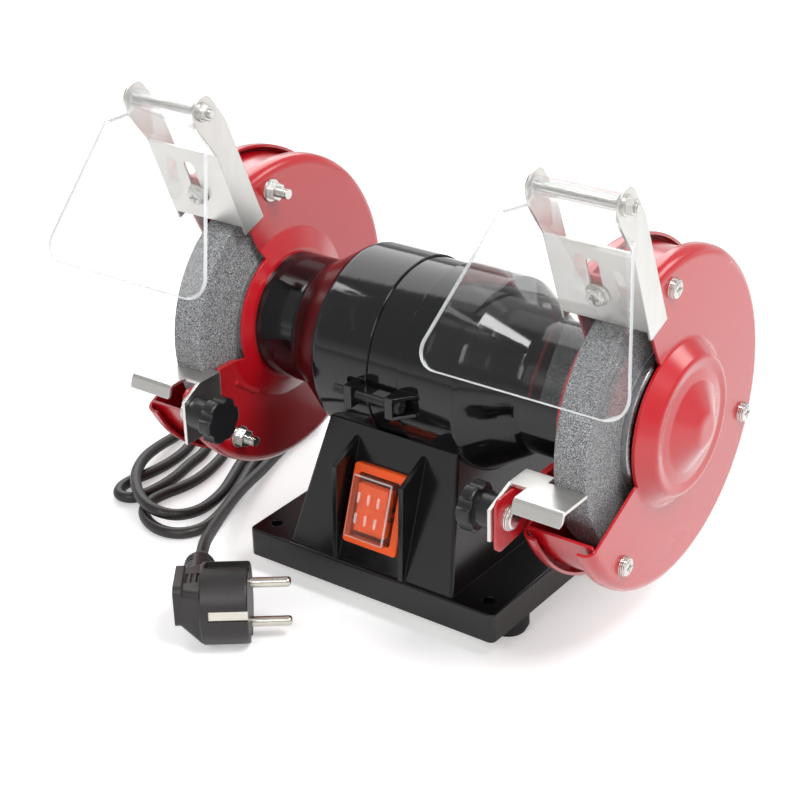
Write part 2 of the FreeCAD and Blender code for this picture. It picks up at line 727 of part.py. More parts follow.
def front_lug(side):
    """Lug for the tie screw at the front: a plain one on the left shell, a channel on the right one."""
    middle = SHAFT_HEIGHT - TIE_DROP
    low, high = middle - LUG_HEIGHT / 2, middle + LUG_HEIGHT / 2
    if side < 0:
        return lug_block(-LUG_INNER - LUG_WIDTH, -LUG_INNER, low, high)
    return fused(lug_block(LUG_INNER, TIE_SEAT_X, low, high),
                 lug_flange(low, low + LUG_FLANGE_T), lug_flange(high - LUG_FLANGE_T, high))


def motor_shell(side):
    """Drawn shell: barrel, cone and neck, with the bearing boss inside its end wall."""
    skin = [(NECK_END, END_HOLE_R), (NECK_END, NECK_R), (CONE_END, NECK_R, SHELL_SHOULDER_ROUND),
            (BARREL_END, MOTOR_R, SHELL_SHOULDER_ROUND), (STRIP_HALF, MOTOR_R)]
    boss_bore = BEARING_R + RUNNING_FIT
    boss = ring(BEARING_START, BEARING_END + SHELL_WALL / 2, boss_bore, boss_bore + BEARING_BOSS_WALL)
    drawn = turned(sheet_outline(skin, SHELL_WALL))
    rim = [edge for edge in drawn.Edges if abs(edge.BoundBox.XMax - STRIP_HALF) < 1e-6
           and edge.BoundBox.ZLength > 2 * MOTOR_R - SHELL_WALL]
    shell = fused(drawn.makeFillet(SHELL_RIM_ROUND, rim), boss)
    shell = shell.cut(rod_x(boss_bore, BEARING_START, BEARING_END))
    shell = shell.cut(rod_x(STATOR_R + RUNNING_FIT, STRIP_HALF, STATOR_HALF))
    shell = shell.cut(guard_screw_holes())
    shell = shell.cut(rod_z(SADDLE_SCREW_R + SCREW_PLAY, 0, SHAFT_HEIGHT, SADDLE_SCREW_X))
    if side < 0:
        shell = mirrored(shell)
    lug = front_lug(side)
    shell = fused(shell, lug, half_turn(lug))
    bore = tie_line(Part.makeCylinder(TIE_SCREW_R + SCREW_PLAY, 2 * MOTOR_R, vec(0, 0, -MOTOR_R)))
    return shell.cut(bore).cut(half_turn(bore))


def tie_line(shape):
    return aimed(shape, vec(TIE_SEAT_X, -TIE_REACH, SHAFT_HEIGHT - TIE_DROP), X_AXIS)


def tie_screws():
    screw = tie_line(pan_screw(TIE_SCREW_R, TIE_SEAT_X + TIE_TIP))
    return [screw, half_turn(screw)]


def saddle_screws():
    seat = SHAFT_HEIGHT - SADDLE_R - BASE_WALL
    screw = pan_screw(SADDLE_SCREW_R, SADDLE_SCREW_LENGTH)
    return both_sides([aimed(screw, vec(SADDLE_SCREW_X, 0, seat), -Z_AXIS)])


# Wheel guards, drawn on the right side

def ring_spots(radius, degrees):
    return [polar(radius, angle) for angle in degrees]


def cover_bolt_spots():
    return ring_spots(COVER_BOLT_RING_R, COVER_BOLT_DEGREES)


def guard_screw_spots():
    return ring_spots(GUARD_SCREW_RING_R, GUARD_SCREW_DEGREES)


def cover_bolt_holes():
    radius = COVER_BOLT_R + SCREW_PLAY
    return Part.makeCompound([rod_x(radius, NECK_END, GUARD_OUTER, y, z) for y, z in cover_bolt_spots()])


def guard_screw_holes():
    radius = GUARD_SCREW_R + SCREW_PLAY
    end = NECK_END + GUARD_SHEET
    return Part.makeCompound([rod_x(radius, BEARING_END - SHELL_WALL, end, y, z)
                              for y, z in guard_screw_spots()])


def inner_guard(ear_front):
    """Dish on the motor side of the wheel, open at the front, with the ear for the tool rest."""
    skin = [(GUARD_INNER + DISH_DEPTH, GUARD_R), (GUARD_INNER, GUARD_R, DISH_EDGE_ROUND),
            (GUARD_INNER, INNER_COLLAR_R, PRESS_ROUND), (NECK_END, INNER_HUB_R, PRESS_ROUND),
            (NECK_END, INNER_HUB_HOLE_R)]
    dish = turned(sheet_outline(skin, GUARD_SHEET))
    low_x, high_x = NECK_END, GUARD_INNER + DISH_DEPTH
    reach = 3 * GUARD_R
    opening = [(0, EAR_TOP_Z), (0, SHAFT_HEIGHT), polar(reach, CUT_TOP_DEG),
               polar(reach, (CUT_TOP_DEG + 180) / 2), (-reach, EAR_TOP_Z)]
    dish = dish.cut(side_plate(opening, low_x, high_x).cut(rod_x(INNER_CUT_R, low_x, high_x)))
    beside_ear = box(low_x, high_x, -reach, -EAR_BEND_Y, 0, SHAFT_HEIGHT)
    dish = dish.cut(sector(180, CUT_BOTTOM_DEG, low_x, high_x).common(beside_ear))
    lip = box(GUARD_INNER, GUARD_INNER + GUARD_SHEET + LIP_WIDTH, -LIP_END_Y, -LIP_START_Y,
              EAR_TOP_Z - GUARD_SHEET, EAR_TOP_Z)
    emboss = side_plate(sheet_outline([EMBOSS_START, EMBOSS_END], EMBOSS_WIDTH),
                        GUARD_INNER - EMBOSS_RISE, GUARD_INNER + GUARD_SHEET / 2)
    guard = fused(dish, ear(ear_front), lip, emboss)
    return guard.cut(cover_bolt_holes()).cut(guard_screw_holes())


def ear(front):
    """Flat ear in front of the dish, stepped towards the motor, with the hole for the rest bolt."""
    skin = [(GUARD_INNER, -EAR_ROOT_Y), (GUARD_INNER, -EAR_BEND_Y, PRESS_ROUND),
            (EAR_X, -EAR_BEND_Y - EAR_BEND_RUN, PRESS_ROUND), (EAR_X, -front)]
    sheet = plan_plate(sheet_outline(skin, GUARD_SHEET), 0, EAR_TOP_Z)
    shape = [(-EAR_ROOT_Y, EAR_TOP_Z), (-front, EAR_TOP_Z, EAR_CORNER),
             (-front, EAR_BOTTOM_Z, EAR_CORNER), (-EAR_HEEL_Y, EAR_BOTTOM_Z + EAR_HEEL_RISE),
             (-EAR_ROOT_Y, EAR_ROOT_BOTTOM_Z)]
    plate = sheet.common(side_plate(shape, EAR_X, GUARD_INNER + GUARD_SHEET))
    return plate.cut(rod_x(REST_BOLT_R + SCREW_PLAY, EAR_X, GUARD_INNER, -REST_BOLT_Y, REST_BOLT_Z))


def outer_cover():
    """Dish outside the wheel, open at the front, with a raised hub ring and a dome over the arbor nut."""
    hub_x = GUARD_OUTER + COVER_HUB_RISE
    apex_x = hub_x + COVER_DOME_RISE
    skin = [(apex_x, 0), (apex_x, COVER_DOME_FLAT_R, COVER_DOME_ROUND), (hub_x, COVER_DOME_R, PRESS_ROUND),
            (hub_x - COVER_DISH_DEPTH, COVER_DISH_R, PRESS_ROUND), (hub_x, COVER_HUB_TOP_R, PRESS_ROUND),
            (GUARD_OUTER, COVER_HUB_BASE_R, PRESS_ROUND), (GUARD_OUTER, GUARD_R, DISH_EDGE_ROUND),
            (GUARD_OUTER - DISH_DEPTH, GUARD_R)]
    dish = turned(sheet_outline(skin, GUARD_SHEET))
    low_x, high_x = GUARD_OUTER - DISH_DEPTH, apex_x
    kept_hub = rod_x(COVER_HUB_BASE_R - COVER_CUT_MARGIN, low_x, high_x)
    dish = dish.cut(sector(CUT_TOP_DEG, CUT_BOTTOM_DEG, low_x, high_x).cut(kept_hub))
    return dish.cut(cover_bolt_holes())


def guard_band():
    """Band round the wheel between the two dishes; its upper end turns up into the bracket's tab."""
    x0 = GUARD_INNER + GUARD_SHEET + BAND_GAP
    x1 = GUARD_OUTER - GUARD_SHEET - BAND_GAP
    inner_r = BAND_R - GUARD_SHEET
    tab_middle = BRACKET_TAB_FRONT - GUARD_SHEET / 2
    top_deg = 90 + BRACKET_LEAN_DEG + math.degrees(math.asin(tab_middle / (BAND_R - GUARD_SHEET / 2)))
    bottom_deg = BAND_BOTTOM_DEG - 360
    section = outline([(x0, inner_r), (x1, inner_r), (x1, BAND_R), (x0, BAND_R)], shaft_plane)
    section.rotate(SHAFT_POINT, X_AXIS, bottom_deg)
    band = section.revolve(SHAFT_POINT, X_AXIS, top_deg - bottom_deg)
    tab_bottom = math.sqrt(inner_r ** 2 - BRACKET_TAB_FRONT ** 2)
    tab_half = BRACKET_TAB_WIDTH / 2
    tab = plan_plate([(-tab_half, tab_bottom), (tab_half, tab_bottom),
                      (tab_half, BRACKET_SCREW_S + BRACKET_TAB_OVER, PRESS_ROUND),
                      (-tab_half, BRACKET_SCREW_S + BRACKET_TAB_OVER, PRESS_ROUND)],
                     BRACKET_TAB_FRONT - GUARD_SHEET, BRACKET_TAB_FRONT)
    tab = tab.cut(rod_z(BRACKET_SCREW_R + SCREW_PLAY, 0, BRACKET_WEB_OFFSET, 0, BRACKET_SCREW_S))
    return fused(band, on_bracket(tab, DRUM_CENTRE))


def cover_bolts():
    stack = WASHER_T + COVER_BOLT_R * NUT_HEIGHT_RATIO + COVER_BOLT_END
    bolt = pan_screw(COVER_BOLT_R, GUARD_OUTER - GUARD_INNER + stack)
    return both_sides([aimed(bolt, vec(GUARD_OUTER, y, z), X_AXIS) for y, z in cover_bolt_spots()])


def cover_washers():
    disc = washer_for(COVER_BOLT_R)
    return both_sides([aimed(disc, vec(GUARD_INNER, y, z), -X_AXIS) for y, z in cover_bolt_spots()])


def cover_nuts():
    nut = nut_for(COVER_BOLT_R)
    seat = GUARD_INNER - WASHER_T
    return both_sides([aimed(nut, vec(seat, y, z), -X_AXIS) for y, z in cover_bolt_spots()])


def guard_screws():
    seat = NECK_END + GUARD_SHEET
    screw = pan_screw(GUARD_SCREW_R, GUARD_SCREW_GRIP)
    return both_sides([aimed(screw, vec(seat, y, z), X_AXIS) for y, z in guard_screw_spots()])


# Tool rests, drawn on the right side

def rest_lip(x0, x1, back_y):
    """Front of the table, bent down and splayed forward, with rounded lower corners."""
    front_y = REST_FRONT + REST_LIP_SPLAY
    low = REST_TOP_Z - REST_LIP
    bend = sheet_outline([(-back_y, REST_TOP_Z), (-REST_FRONT, REST_TOP_Z, REST_BEND), (-front_y, low)], REST_SHEET)
    shape = outline([(x0, low - REST_SHEET, REST_LIP_CORNER), (x1, low - REST_SHEET, REST_LIP_CORNER),
                     (x1, REST_TOP_Z), (x0, REST_TOP_Z)], lambda x, z: vec(x, -front_y, z))
    return side_plate(bend, x0, x1).common(shape.extrude(vec(0, front_y - back_y, 0)))


def tool_rest(wheel_shift, tab_front, tab_bottom):
    """Table in front of the wheel and beside it, folded from a tab that is slotted for the rest bolt."""
    under = REST_TOP_Z - REST_SHEET
    notch_x = REST_TAB_OUTER + REST_NOTCH_WIDTH
    notch_y = REST_FRONT - REST_NOTCH_DEPTH
    tongue_x = WHEEL_INNER_FACE + wheel_shift - REST_WHEEL_GAP
    tongue_y = REST_BACK - REST_TONGUE
    table = plan_plate([(REST_TAB_INNER, -tongue_y), (REST_TAB_INNER, -notch_y), (REST_END, -notch_y),
                        (REST_END, -REST_BACK), (tongue_x, -REST_BACK), (tongue_x, -tongue_y)],
                       under, REST_TOP_Z)
    lip = rest_lip(notch_x, REST_END, notch_y)
    tab = side_plate([(-tongue_y, tab_bottom), (-tab_front, tab_bottom),
                      (-tab_front, REST_TOP_Z - TAB_CORNER_DROP), (-notch_y, REST_TOP_Z),
                      (-tongue_y, REST_TOP_Z)], REST_TAB_INNER, REST_TAB_OUTER)
    slot_half = REST_BOLT_R + MOVING_GAP
    slot_end = REST_BOLT_Y - REST_TRAVEL
    slot = fused(rod_x(slot_half, REST_TAB_INNER, REST_TAB_OUTER, -REST_BOLT_Y, REST_BOLT_Z),
                 rod_x(slot_half, REST_TAB_INNER, REST_TAB_OUTER, -slot_end, REST_BOLT_Z),
                 box(REST_TAB_INNER, REST_TAB_OUTER, -REST_BOLT_Y, -slot_end,
                     REST_BOLT_Z - slot_half, REST_BOLT_Z + slot_half))
    return fused(table, lip, tab).cut(slot)


def rest_bolts():
    """Carriage bolts through the ears, heads on the wheel side."""
    seat = EAR_X + GUARD_SHEET
    head = Part.makeCylinder(REST_BOLT_HEAD_R, REST_BOLT_HEAD_HEIGHT)
    head = head.makeFillet(REST_BOLT_HEAD_ROUND, [head.Edges[0]])
    bolt = fused(head, rod_z(REST_BOLT_R, KNOB_END + KNOB_CAP - seat, 0))
    return both_sides([aimed(bolt, vec(seat, -REST_BOLT_Y, REST_BOLT_Z), X_AXIS)])


def rest_knob():
    """Star knob on a round neck, with a blind bore for the bolt."""
    neck_end = KNOB_FACE - KNOB_NECK_LENGTH
    neck = rod_x(KNOB_NECK_R, neck_end, KNOB_FACE, -REST_BOLT_Y, REST_BOLT_Z)
    grip = Part.makeCylinder(KNOB_R, KNOB_LENGTH)
    grip = grip.makeFillet(KNOB_EDGE_ROUND, [grip.Edges[0], grip.Edges[2]])
    for index in range(KNOB_LOBES):
        angle = math.radians(360 * index / KNOB_LOBES)
        reach = KNOB_R + KNOB_NOTCH_R - KNOB_NOTCH_DEPTH
        grip = grip.cut(rod_z(KNOB_NOTCH_R, 0, KNOB_LENGTH, reach * math.cos(angle), reach * math.sin(angle)))
    grip = aimed(grip, vec(neck_end, -REST_BOLT_Y, REST_BOLT_Z), -X_AXIS)
    bore = rod_x(REST_BOLT_R + MOVING_GAP, KNOB_END + KNOB_CAP - MOVING_GAP, KNOB_FACE, -REST_BOLT_Y, REST_BOLT_Z)
    return fused(neck, grip).cut(bore)


# Spark brackets and eye shields, the same on both sides

def on_bracket(shape, x):
    """Shape drawn in the bracket's own axes: X, up the web and out of its front, from the shaft axis."""
    return placed(shape, vec(x, 0, SHAFT_HEIGHT), FreeCAD.Rotation(X_AXIS, 90 + BRACKET_LEAN_DEG))


def rod_line():
    """(y, z) of the shield rod."""
    point = on_bracket(Part.Vertex(0, ROD_S, ROD_FORWARD), 0).Point
    return point.y, point.z


def spark_bracket(x):
    half = BRACKET_WIDTH / 2
    back = BRACKET_WEB_OFFSET - BRACKET_SHEET
    web = box(-half, half, WEB_BOTTOM, WEB_TOP, back, BRACKET_WEB_OFFSET)
    slot_half = BRACKET_SLOT_WIDTH / 2
    slot_low = BRACKET_SCREW_S - BRACKET_TRAVEL
    slot_high = WEB_TOP - BRACKET_SLOT_TOP - slot_half
    slot = fused(rod_z(slot_half, back, BRACKET_WEB_OFFSET, 0, slot_low),
                 rod_z(slot_half, back, BRACKET_WEB_OFFSET, 0, slot_high),
                 box(-slot_half, slot_half, slot_low, slot_high, back, BRACKET_WEB_OFFSET))
    wing_bottom = WEB_BOTTOM - BRACKET_WING_DROP
    wing_shape = [(wing_bottom, BRACKET_WEB_OFFSET), (WEB_TOP, BRACKET_WEB_OFFSET, EAR_TIP_R),
                  (ROD_S - EAR_TIP_R, ROD_FORWARD + EAR_TIP_R, EAR_TIP_R / 2),
                  (ROD_S + EAR_TIP_R, ROD_FORWARD + EAR_TIP_R, EAR_TIP_R - SEAT_GAP),
                  (ROD_S + EAR_TIP_R, ROD_FORWARD - EAR_TIP_R, EAR_TIP_R - SEAT_GAP),
                  (ROD_S - 2 * EAR_TIP_R, BRACKET_WEB_OFFSET - BRACKET_WING + BRACKET_SHEET, EAR_TIP_R),
                  (wing_bottom, BRACKET_WEB_OFFSET - BRACKET_WING)]
    wings = []
    for outer_x in (-half, half - BRACKET_SHEET):
        face = outline(wing_shape, side_plane).translated(vec(outer_x, 0, 0))
        wings.append(face.extrude(vec(BRACKET_SHEET, 0, 0)))
    bore = rod_x(ROD_R + SCREW_PLAY, -half, half, ROD_S, ROD_FORWARD)
    return on_bracket(fused(web, *wings).cut(slot).cut(bore), x)


def bracket_screws():
    """Screw, washer and nut that clamp each bracket to the tab of its guard band."""
    seat = BRACKET_WEB_OFFSET + MOVING_GAP
    tab_back = BRACKET_TAB_FRONT - GUARD_SHEET
    nut_height = BRACKET_SCREW_R * NUT_HEIGHT_RATIO
    screw = pan_screw(BRACKET_SCREW_R, seat + WASHER_T - tab_back + nut_height)
    stack = [screw.translated(vec(0, BRACKET_SCREW_S, seat + WASHER_T)),
             washer_for(BRACKET_SCREW_R).translated(vec(0, BRACKET_SCREW_S, seat)),
             nut_for(BRACKET_SCREW_R).translated(vec(0, BRACKET_SCREW_S, tab_back - nut_height))]
    return [on_bracket(piece, x) for x in (-DRUM_CENTRE, DRUM_CENTRE) for piece in stack]


def shield_rod(x):
    """Long screw through both ears, its head on the left."""
    y, z = rod_line()
    half = BRACKET_WIDTH / 2
    length = BRACKET_WIDTH + WASHER_T + ROD_R * NUT_HEIGHT_RATIO + ROD_END
    return aimed(pan_screw(ROD_R, length), vec(x - half, y, z), -X_AXIS)


def shield_nut(x):
    y, z = rod_line()
    seat = x + BRACKET_WIDTH / 2
    return [aimed(washer_for(ROD_R), vec(seat, y, z), X_AXIS),
            aimed(nut_for(ROD_R), vec(seat + WASHER_T, y, z), X_AXIS)]


def shield_lines():
    """(y, z) of the shield's bend and of the middle of its lower edge."""
    y, z = rod_line()
    strip = math.radians(SHIELD_STRIP_DEG)
    panel = math.radians(SHIELD_PANEL_DEG)
    bend = (y - SHIELD_STRIP * math.cos(strip), z - SHIELD_STRIP * math.sin(strip))
    edge = (bend[0] - SHIELD_PANEL * math.cos(panel), bend[1] - SHIELD_PANEL * math.sin(panel))
    return bend, edge


def eye_shield(x):
    """Clear shield: a barrel on the rod, a short strip, a bend and a panel that widens downwards."""
    y, z = rod_line()
    bend, edge = shield_lines()
    half_t = SHIELD_SHEET / 2
    top_half, bottom_half = SHIELD_TOP_WIDTH / 2, SHIELD_BOTTOM_WIDTH / 2
    flare = EAR_TIP_R + SHIELD_FLARE_GAP
    strip = plan_plate([(-BARREL_HALF, 0), (BARREL_HALF, 0), (BARREL_HALF, flare), (top_half, SHIELD_STRIP),
                        (-top_half, SHIELD_STRIP), (-BARREL_HALF, flare)], -half_t, half_t)
    panel = plan_plate([(-top_half, 0), (top_half, 0), (bottom_half, SHIELD_PANEL, SHIELD_CORNER),
                        (-bottom_half, SHIELD_PANEL, SHIELD_CORNER)], -half_t, half_t)
    outer_rims = [edge for edge in panel.Edges if edge.BoundBox.ZLength < 1e-6 and edge.BoundBox.YMax > 1e-6]
    panel = panel.makeFillet(SHIELD_EDGE_ROUND, outer_rims)
    strip = placed(strip, vec(x, y, z), FreeCAD.Rotation(X_AXIS, 180 + SHIELD_STRIP_DEG))
    panel = placed(panel, vec(x, *bend), FreeCAD.Rotation(X_AXIS, 180 + SHIELD_PANEL_DEG))
    fold = rod_x(half_t, x - top_half, x + top_half, *bend)
    barrel = rod_x(SHIELD_BARREL_R, x - BARREL_HALF, x + BARREL_HALF, y, z)
    bore = rod_x(ROD_R + MOVING_GAP, x - BARREL_HALF, x + BARREL_HALF, y, z)
    shield = fused(strip, panel, fold, barrel).cut(bore)
    if x < 0:
        shield.rotate(vec(x, y, z), X_AXIS, LEFT_SHIELD_HANG_DEG)
    return shield


# Base

def face_share(z):
    """How far up the leaning faces of the pedestal a height is: 0 at the slab, 1 at the saddle's edge."""
    return (z - SLAB_TOP) / (SADDLE_EDGE_Z - SLAB_TOP)


def front_face_y(z):
    return -PEDESTAL_DEPTH / 2 + (PEDESTAL_DEPTH / 2 - SADDLE_EDGE_Y) * face_share(z)


def pedestal_section(inset, z):
    half_x = (PEDESTAL_LENGTH + (PEDESTAL_TOP_LENGTH - PEDESTAL_LENGTH) * face_share(z)) / 2
    corners = rectangle(half_x - inset, -front_face_y(z) - inset, PEDESTAL_EDGE_ROUND)
    return outline(corners, plan).OuterWire.translated(vec(0, 0, z))


def pedestal_block(inset, z0):
    top = SADDLE_EDGE_Z + SADDLE_OVERRUN
    return Part.makeLoft([pedestal_section(inset, z0), pedestal_section(inset, top)], True, True)


def slab_block(inset, z0, z1):
    return plan_plate(rectangle(SLAB_LENGTH / 2 - inset, SLAB_DEPTH / 2 - inset, SLAB_CORNER), z0, z1)


def rim_rounded(shape, z, radius):
    """Shape with the edges that lie in the plane at z rounded."""
    rim = [edge for edge in shape.Edges if abs(edge.BoundBox.ZMin - z) + abs(edge.BoundBox.ZMax - z) < 1e-6]
    return shape.makeFillet(radius, rim)


def fin(x):
    """Upright rib beside the switch, standing out from the front face."""
    root = BASE_WALL / 2
    shape = [(front_face_y(FIN_TOP_Z) + root, FIN_TOP_Z), (-FIN_KNEE_Y, FIN_KNEE_Z), (-FIN_TOE_Y, SLAB_TOP),
             (front_face_y(SLAB_TOP) + root, SLAB_TOP)]
    return side_plate(shape, x - FIN_T / 2, x + FIN_T / 2)


def bench_hole_spots():
    return four_corners(BENCH_HOLE_X, BENCH_HOLE_Y)


def foot_spots():
    return four_corners(FOOT_X, FOOT_Y)


def holes_z(radius, spots, z0, z1):
    return Part.makeCompound([rod_z(radius, z0, z1, x, y) for x, y in spots])


def gland_seat():
    return vec(GLAND_X, SLAB_DEPTH / 2, GLAND_Z)


def base_pedestal():
    """Hollow foot slab and saddle pedestal, open underneath, with bosses for the screws."""
    inside_top = SLAB_TOP - BASE_WALL
    slab = rim_rounded(slab_block(0, FOOT_HEIGHT, SLAB_TOP), SLAB_TOP, SLAB_EDGE_ROUND)
    fins = [fin(side * FIN_SPACING / 2) for side in (1, -1)]
    reach = PEDESTAL_LENGTH
    saddle = rod_x(SADDLE_R, -reach, reach)
    base = fused(slab, pedestal_block(0, SLAB_TOP), *fins).cut(saddle)
    hollow = fused(slab_block(BASE_WALL, FOOT_HEIGHT, inside_top), pedestal_block(BASE_WALL, inside_top))
    base = base.cut(hollow.cut(rod_x(SADDLE_R + BASE_WALL, -reach, reach)))
    bosses = [rod_z(BOSS_R, PLATE_TOP, inside_top, x, y) for x, y in bench_hole_spots() + foot_spots()]
    base = fused(base, *bosses)
    base = base.cut(holes_z(BENCH_HOLE_R, bench_hole_spots(), PLATE_TOP, SLAB_TOP))
    foot_hole_top = FOOT_RECESS + FOOT_SCREW_LENGTH + SEAT_GAP
    base = base.cut(holes_z(FOOT_SCREW_R + SCREW_PLAY, foot_spots(), PLATE_TOP, foot_hole_top))
    saddle_spots = [(SADDLE_SCREW_X, 0), (-SADDLE_SCREW_X, 0)]
    base = base.cut(holes_z(SADDLE_SCREW_R + SCREW_PLAY, saddle_spots, SLAB_TOP, SHAFT_HEIGHT))
    base = base.cut(on_face(plan_plate(switch_cutout(0), -SWITCH_BODY_DEPTH, BEZEL_PROUD)))
    gland_hole = rod_z(GLAND_STEM_R + SEAT_GAP, -BASE_WALL, 0)
    return base.cut(aimed(gland_hole, gland_seat(), Y_AXIS))


def bottom_plate():
    plate = slab_block(BASE_WALL + MOVING_GAP, FOOT_HEIGHT, PLATE_TOP)
    plate = plate.cut(holes_z(BENCH_HOLE_R, bench_hole_spots(), FOOT_HEIGHT, PLATE_TOP))
    return plate.cut(holes_z(FOOT_SCREW_R + SCREW_PLAY, foot_spots(), FOOT_HEIGHT, PLATE_TOP))


def rubber_feet():
    """Turned feet with a recess below for the screw's head."""
    bore = FOOT_SCREW_R + SCREW_PLAY
    recess = FOOT_SCREW_R * HEAD_R_RATIO + SCREW_PLAY
    section = [(bore, FOOT_HEIGHT), (FOOT_R, FOOT_HEIGHT), (FOOT_R, FOOT_CHAMFER),
               (FOOT_R - FOOT_CHAMFER / 2, 0), (recess, 0), (recess, FOOT_RECESS), (bore, FOOT_RECESS)]
    foot = outline(section, lambda r, z: vec(r, 0, z)).revolve(vec(0, 0, 0), Z_AXIS, 360)
    return [foot.translated(vec(x, y, 0)) for x, y in foot_spots()]


def foot_screws():
    screw = pan_screw(FOOT_SCREW_R, FOOT_SCREW_LENGTH)
    return [aimed(screw, vec(x, y, FOOT_RECESS), -Z_AXIS) for x, y in foot_spots()]


def capacitor():
    half = CAPACITOR_LENGTH / 2
    return rod_x(CAPACITOR_R, -half, half, CAPACITOR_Y, CAPACITOR_Z)


def capacitor_clip():
    """Strap bent over the capacitor, with a foot on each side standing on the bottom plate."""
    inner = CAPACITOR_R + SEAT_GAP
    outer = inner + CLIP_T
    half = CLIP_WIDTH / 2
    arch = rod_x(outer, -half, half, CAPACITOR_Y, CAPACITOR_Z)
    legs = box(-half, half, CAPACITOR_Y - outer, CAPACITOR_Y + outer, PLATE_TOP, CAPACITOR_Z)
    feet = box(-half, half, CAPACITOR_Y - outer - CLIP_FOOT, CAPACITOR_Y + outer + CLIP_FOOT,
               PLATE_TOP, PLATE_TOP + CLIP_T)
    below = box(-half, half, CAPACITOR_Y - outer, CAPACITOR_Y + outer, 0, PLATE_TOP)
    inside = fused(rod_x(inner, -half, half, CAPACITOR_Y, CAPACITOR_Z),
                   box(-half, half, CAPACITOR_Y - inner, CAPACITOR_Y + inner, PLATE_TOP, CAPACITOR_Z))
    return fused(arch, legs, feet).cut(below).cut(inside)


def cord_gland():
    """Tapered sleeve on the rear wall: the cord goes on from its tip."""
    sleeve = Part.makeCone(GLAND_ROOT_R, GLAND_TIP_R, GLAND_LENGTH - GLAND_FLANGE_T, vec(0, 0, GLAND_FLANGE_T))
    collar = rod_z(GLAND_STEM_R + GLAND_COLLAR, -BASE_WALL - GLAND_COLLAR_T, -BASE_WALL)
    gland = fused(sleeve, rod_z(GLAND_FLANGE_R, 0, GLAND_FLANGE_T), rod_z(GLAND_STEM_R, -BASE_WALL, 0), collar)
    return aimed(gland, gland_seat(), Y_AXIS)


# Switch

def on_face(shape):
    """Shape drawn about the middle of the switch: X, up the leaning front face and out of it."""
    lean = math.degrees(math.atan2(SADDLE_EDGE_Z - SLAB_TOP, PEDESTAL_DEPTH / 2 - SADDLE_EDGE_Y))
    middle = shape.translated(vec(0, SWITCH_RISE + BEZEL_HEIGHT / 2, 0))
    return placed(middle, vec(0, -PEDESTAL_DEPTH / 2, SLAB_TOP), FreeCAD.Rotation(X_AXIS, lean))


def bezel_outline(inset, corner):
    return rectangle(BEZEL_WIDTH / 2 - inset, BEZEL_HEIGHT / 2 - inset, corner)


def switch_cutout(gap):
    return bezel_outline(SWITCH_BODY_INSET + gap, 0)


def bezel_window(gap):
    return bezel_outline(BEZEL_FRAME + gap, BEZEL_CORNER / 2)


def switch_bezel():
    frame = rim_rounded(plan_plate(bezel_outline(0, BEZEL_CORNER), 0, BEZEL_PROUD), BEZEL_PROUD, BEZEL_EDGE_ROUND)
    return on_face(frame.cut(plan_plate(bezel_window(0), 0, BEZEL_PROUD)))


def switch_body():
    """Block behind the bezel, with two ears that carry the rocker's pivots."""
    block = plan_plate(switch_cutout(SEAT_GAP), -SWITCH_BODY_DEPTH, 0)
    inner = ROCKER_WIDTH / 2 + MOVING_GAP
    ears = [box(x, x + SWITCH_EAR_T, -SWITCH_EAR_HALF, SWITCH_EAR_HALF, 0, SWITCH_EAR_HEIGHT)
            for x in (inner, -inner - SWITCH_EAR_T)]
    bore = rod_x(ROCKER_PIVOT_R + MOVING_GAP, -BEZEL_WIDTH / 2, BEZEL_WIDTH / 2, 0, ROCKER_PIVOT_Z)
    return on_face(fused(block, *ears).cut(bore))


def switch_rocker():
    """Rocker with a hollowed top, pressed in at its lower end."""
    half = ROCKER_LENGTH / 2
    profile = [(-half, ROCKER_END_BOTTOM), (0, ROCKER_MIDDLE_BOTTOM), (half, ROCKER_END_BOTTOM),
               (half, ROCKER_END_TOP), (0, ROCKER_MIDDLE_TOP), (-half, ROCKER_END_TOP)]
    width = ROCKER_WIDTH / 2
    stub = width + MOVING_GAP + SWITCH_EAR_T
    rocker = fused(side_plate(profile, -width, width), rod_x(ROCKER_PIVOT_R, -stub, stub, 0, ROCKER_PIVOT_Z))
    rocker.rotate(vec(0, 0, ROCKER_PIVOT_Z), X_AXIS, ROCKER_TILT_DEG)
    return on_face(rocker)


def switch_cover():
    """Clear boot in the bezel's window, with raised oblong marks in two rows."""
    shell = rim_rounded(plan_plate(bezel_window(SEAT_GAP), 0, BOOT_HEIGHT), BOOT_HEIGHT, BOOT_CHAMFER)
    shell = shell.cut(plan_plate(bezel_window(SEAT_GAP + BOOT_WALL), 0, BOOT_HEIGHT - BOOT_WALL))
    marks = []
    end = MARK_LENGTH / 2 - MARK_WIDTH / 2
    for x in (-MARK_PITCH_X, 0, MARK_PITCH_X):
        for y in (-MARK_PITCH_Y / 2, MARK_PITCH_Y / 2):
            low, high = BOOT_HEIGHT - BOOT_WALL / 2, BOOT_HEIGHT + MARK_RISE
            marks.append(rod_z(MARK_WIDTH / 2, low, high, x, y - end))
            marks.append(rod_z(MARK_WIDTH / 2, low, high, x, y + end))
            marks.append(box(x - MARK_WIDTH / 2, x + MARK_WIDTH / 2, y - end, y + end, low, high))
    return on_face(fused(shell, *marks))


# Plug, drawn with its pins along X and the cord leaving along Y

def on_plug(shape):
    return placed(shape, vec(PLUG_FACE_X, PLUG_FACE_Y, PLUG_Z), FreeCAD.Rotation(Z_AXIS, PLUG_TURN_DEG))


def rolled_pair(shape):
    """Two copies half a turn apart about the plug's axis, rolled as its face lies."""
    pair = []
    for turn in (PLUG_ROLL_DEG, PLUG_ROLL_DEG + 180):
        rolled = shape.copy()
        rolled.rotate(vec(0, 0, 0), X_AXIS, turn)
        pair.append(rolled)
    return pair


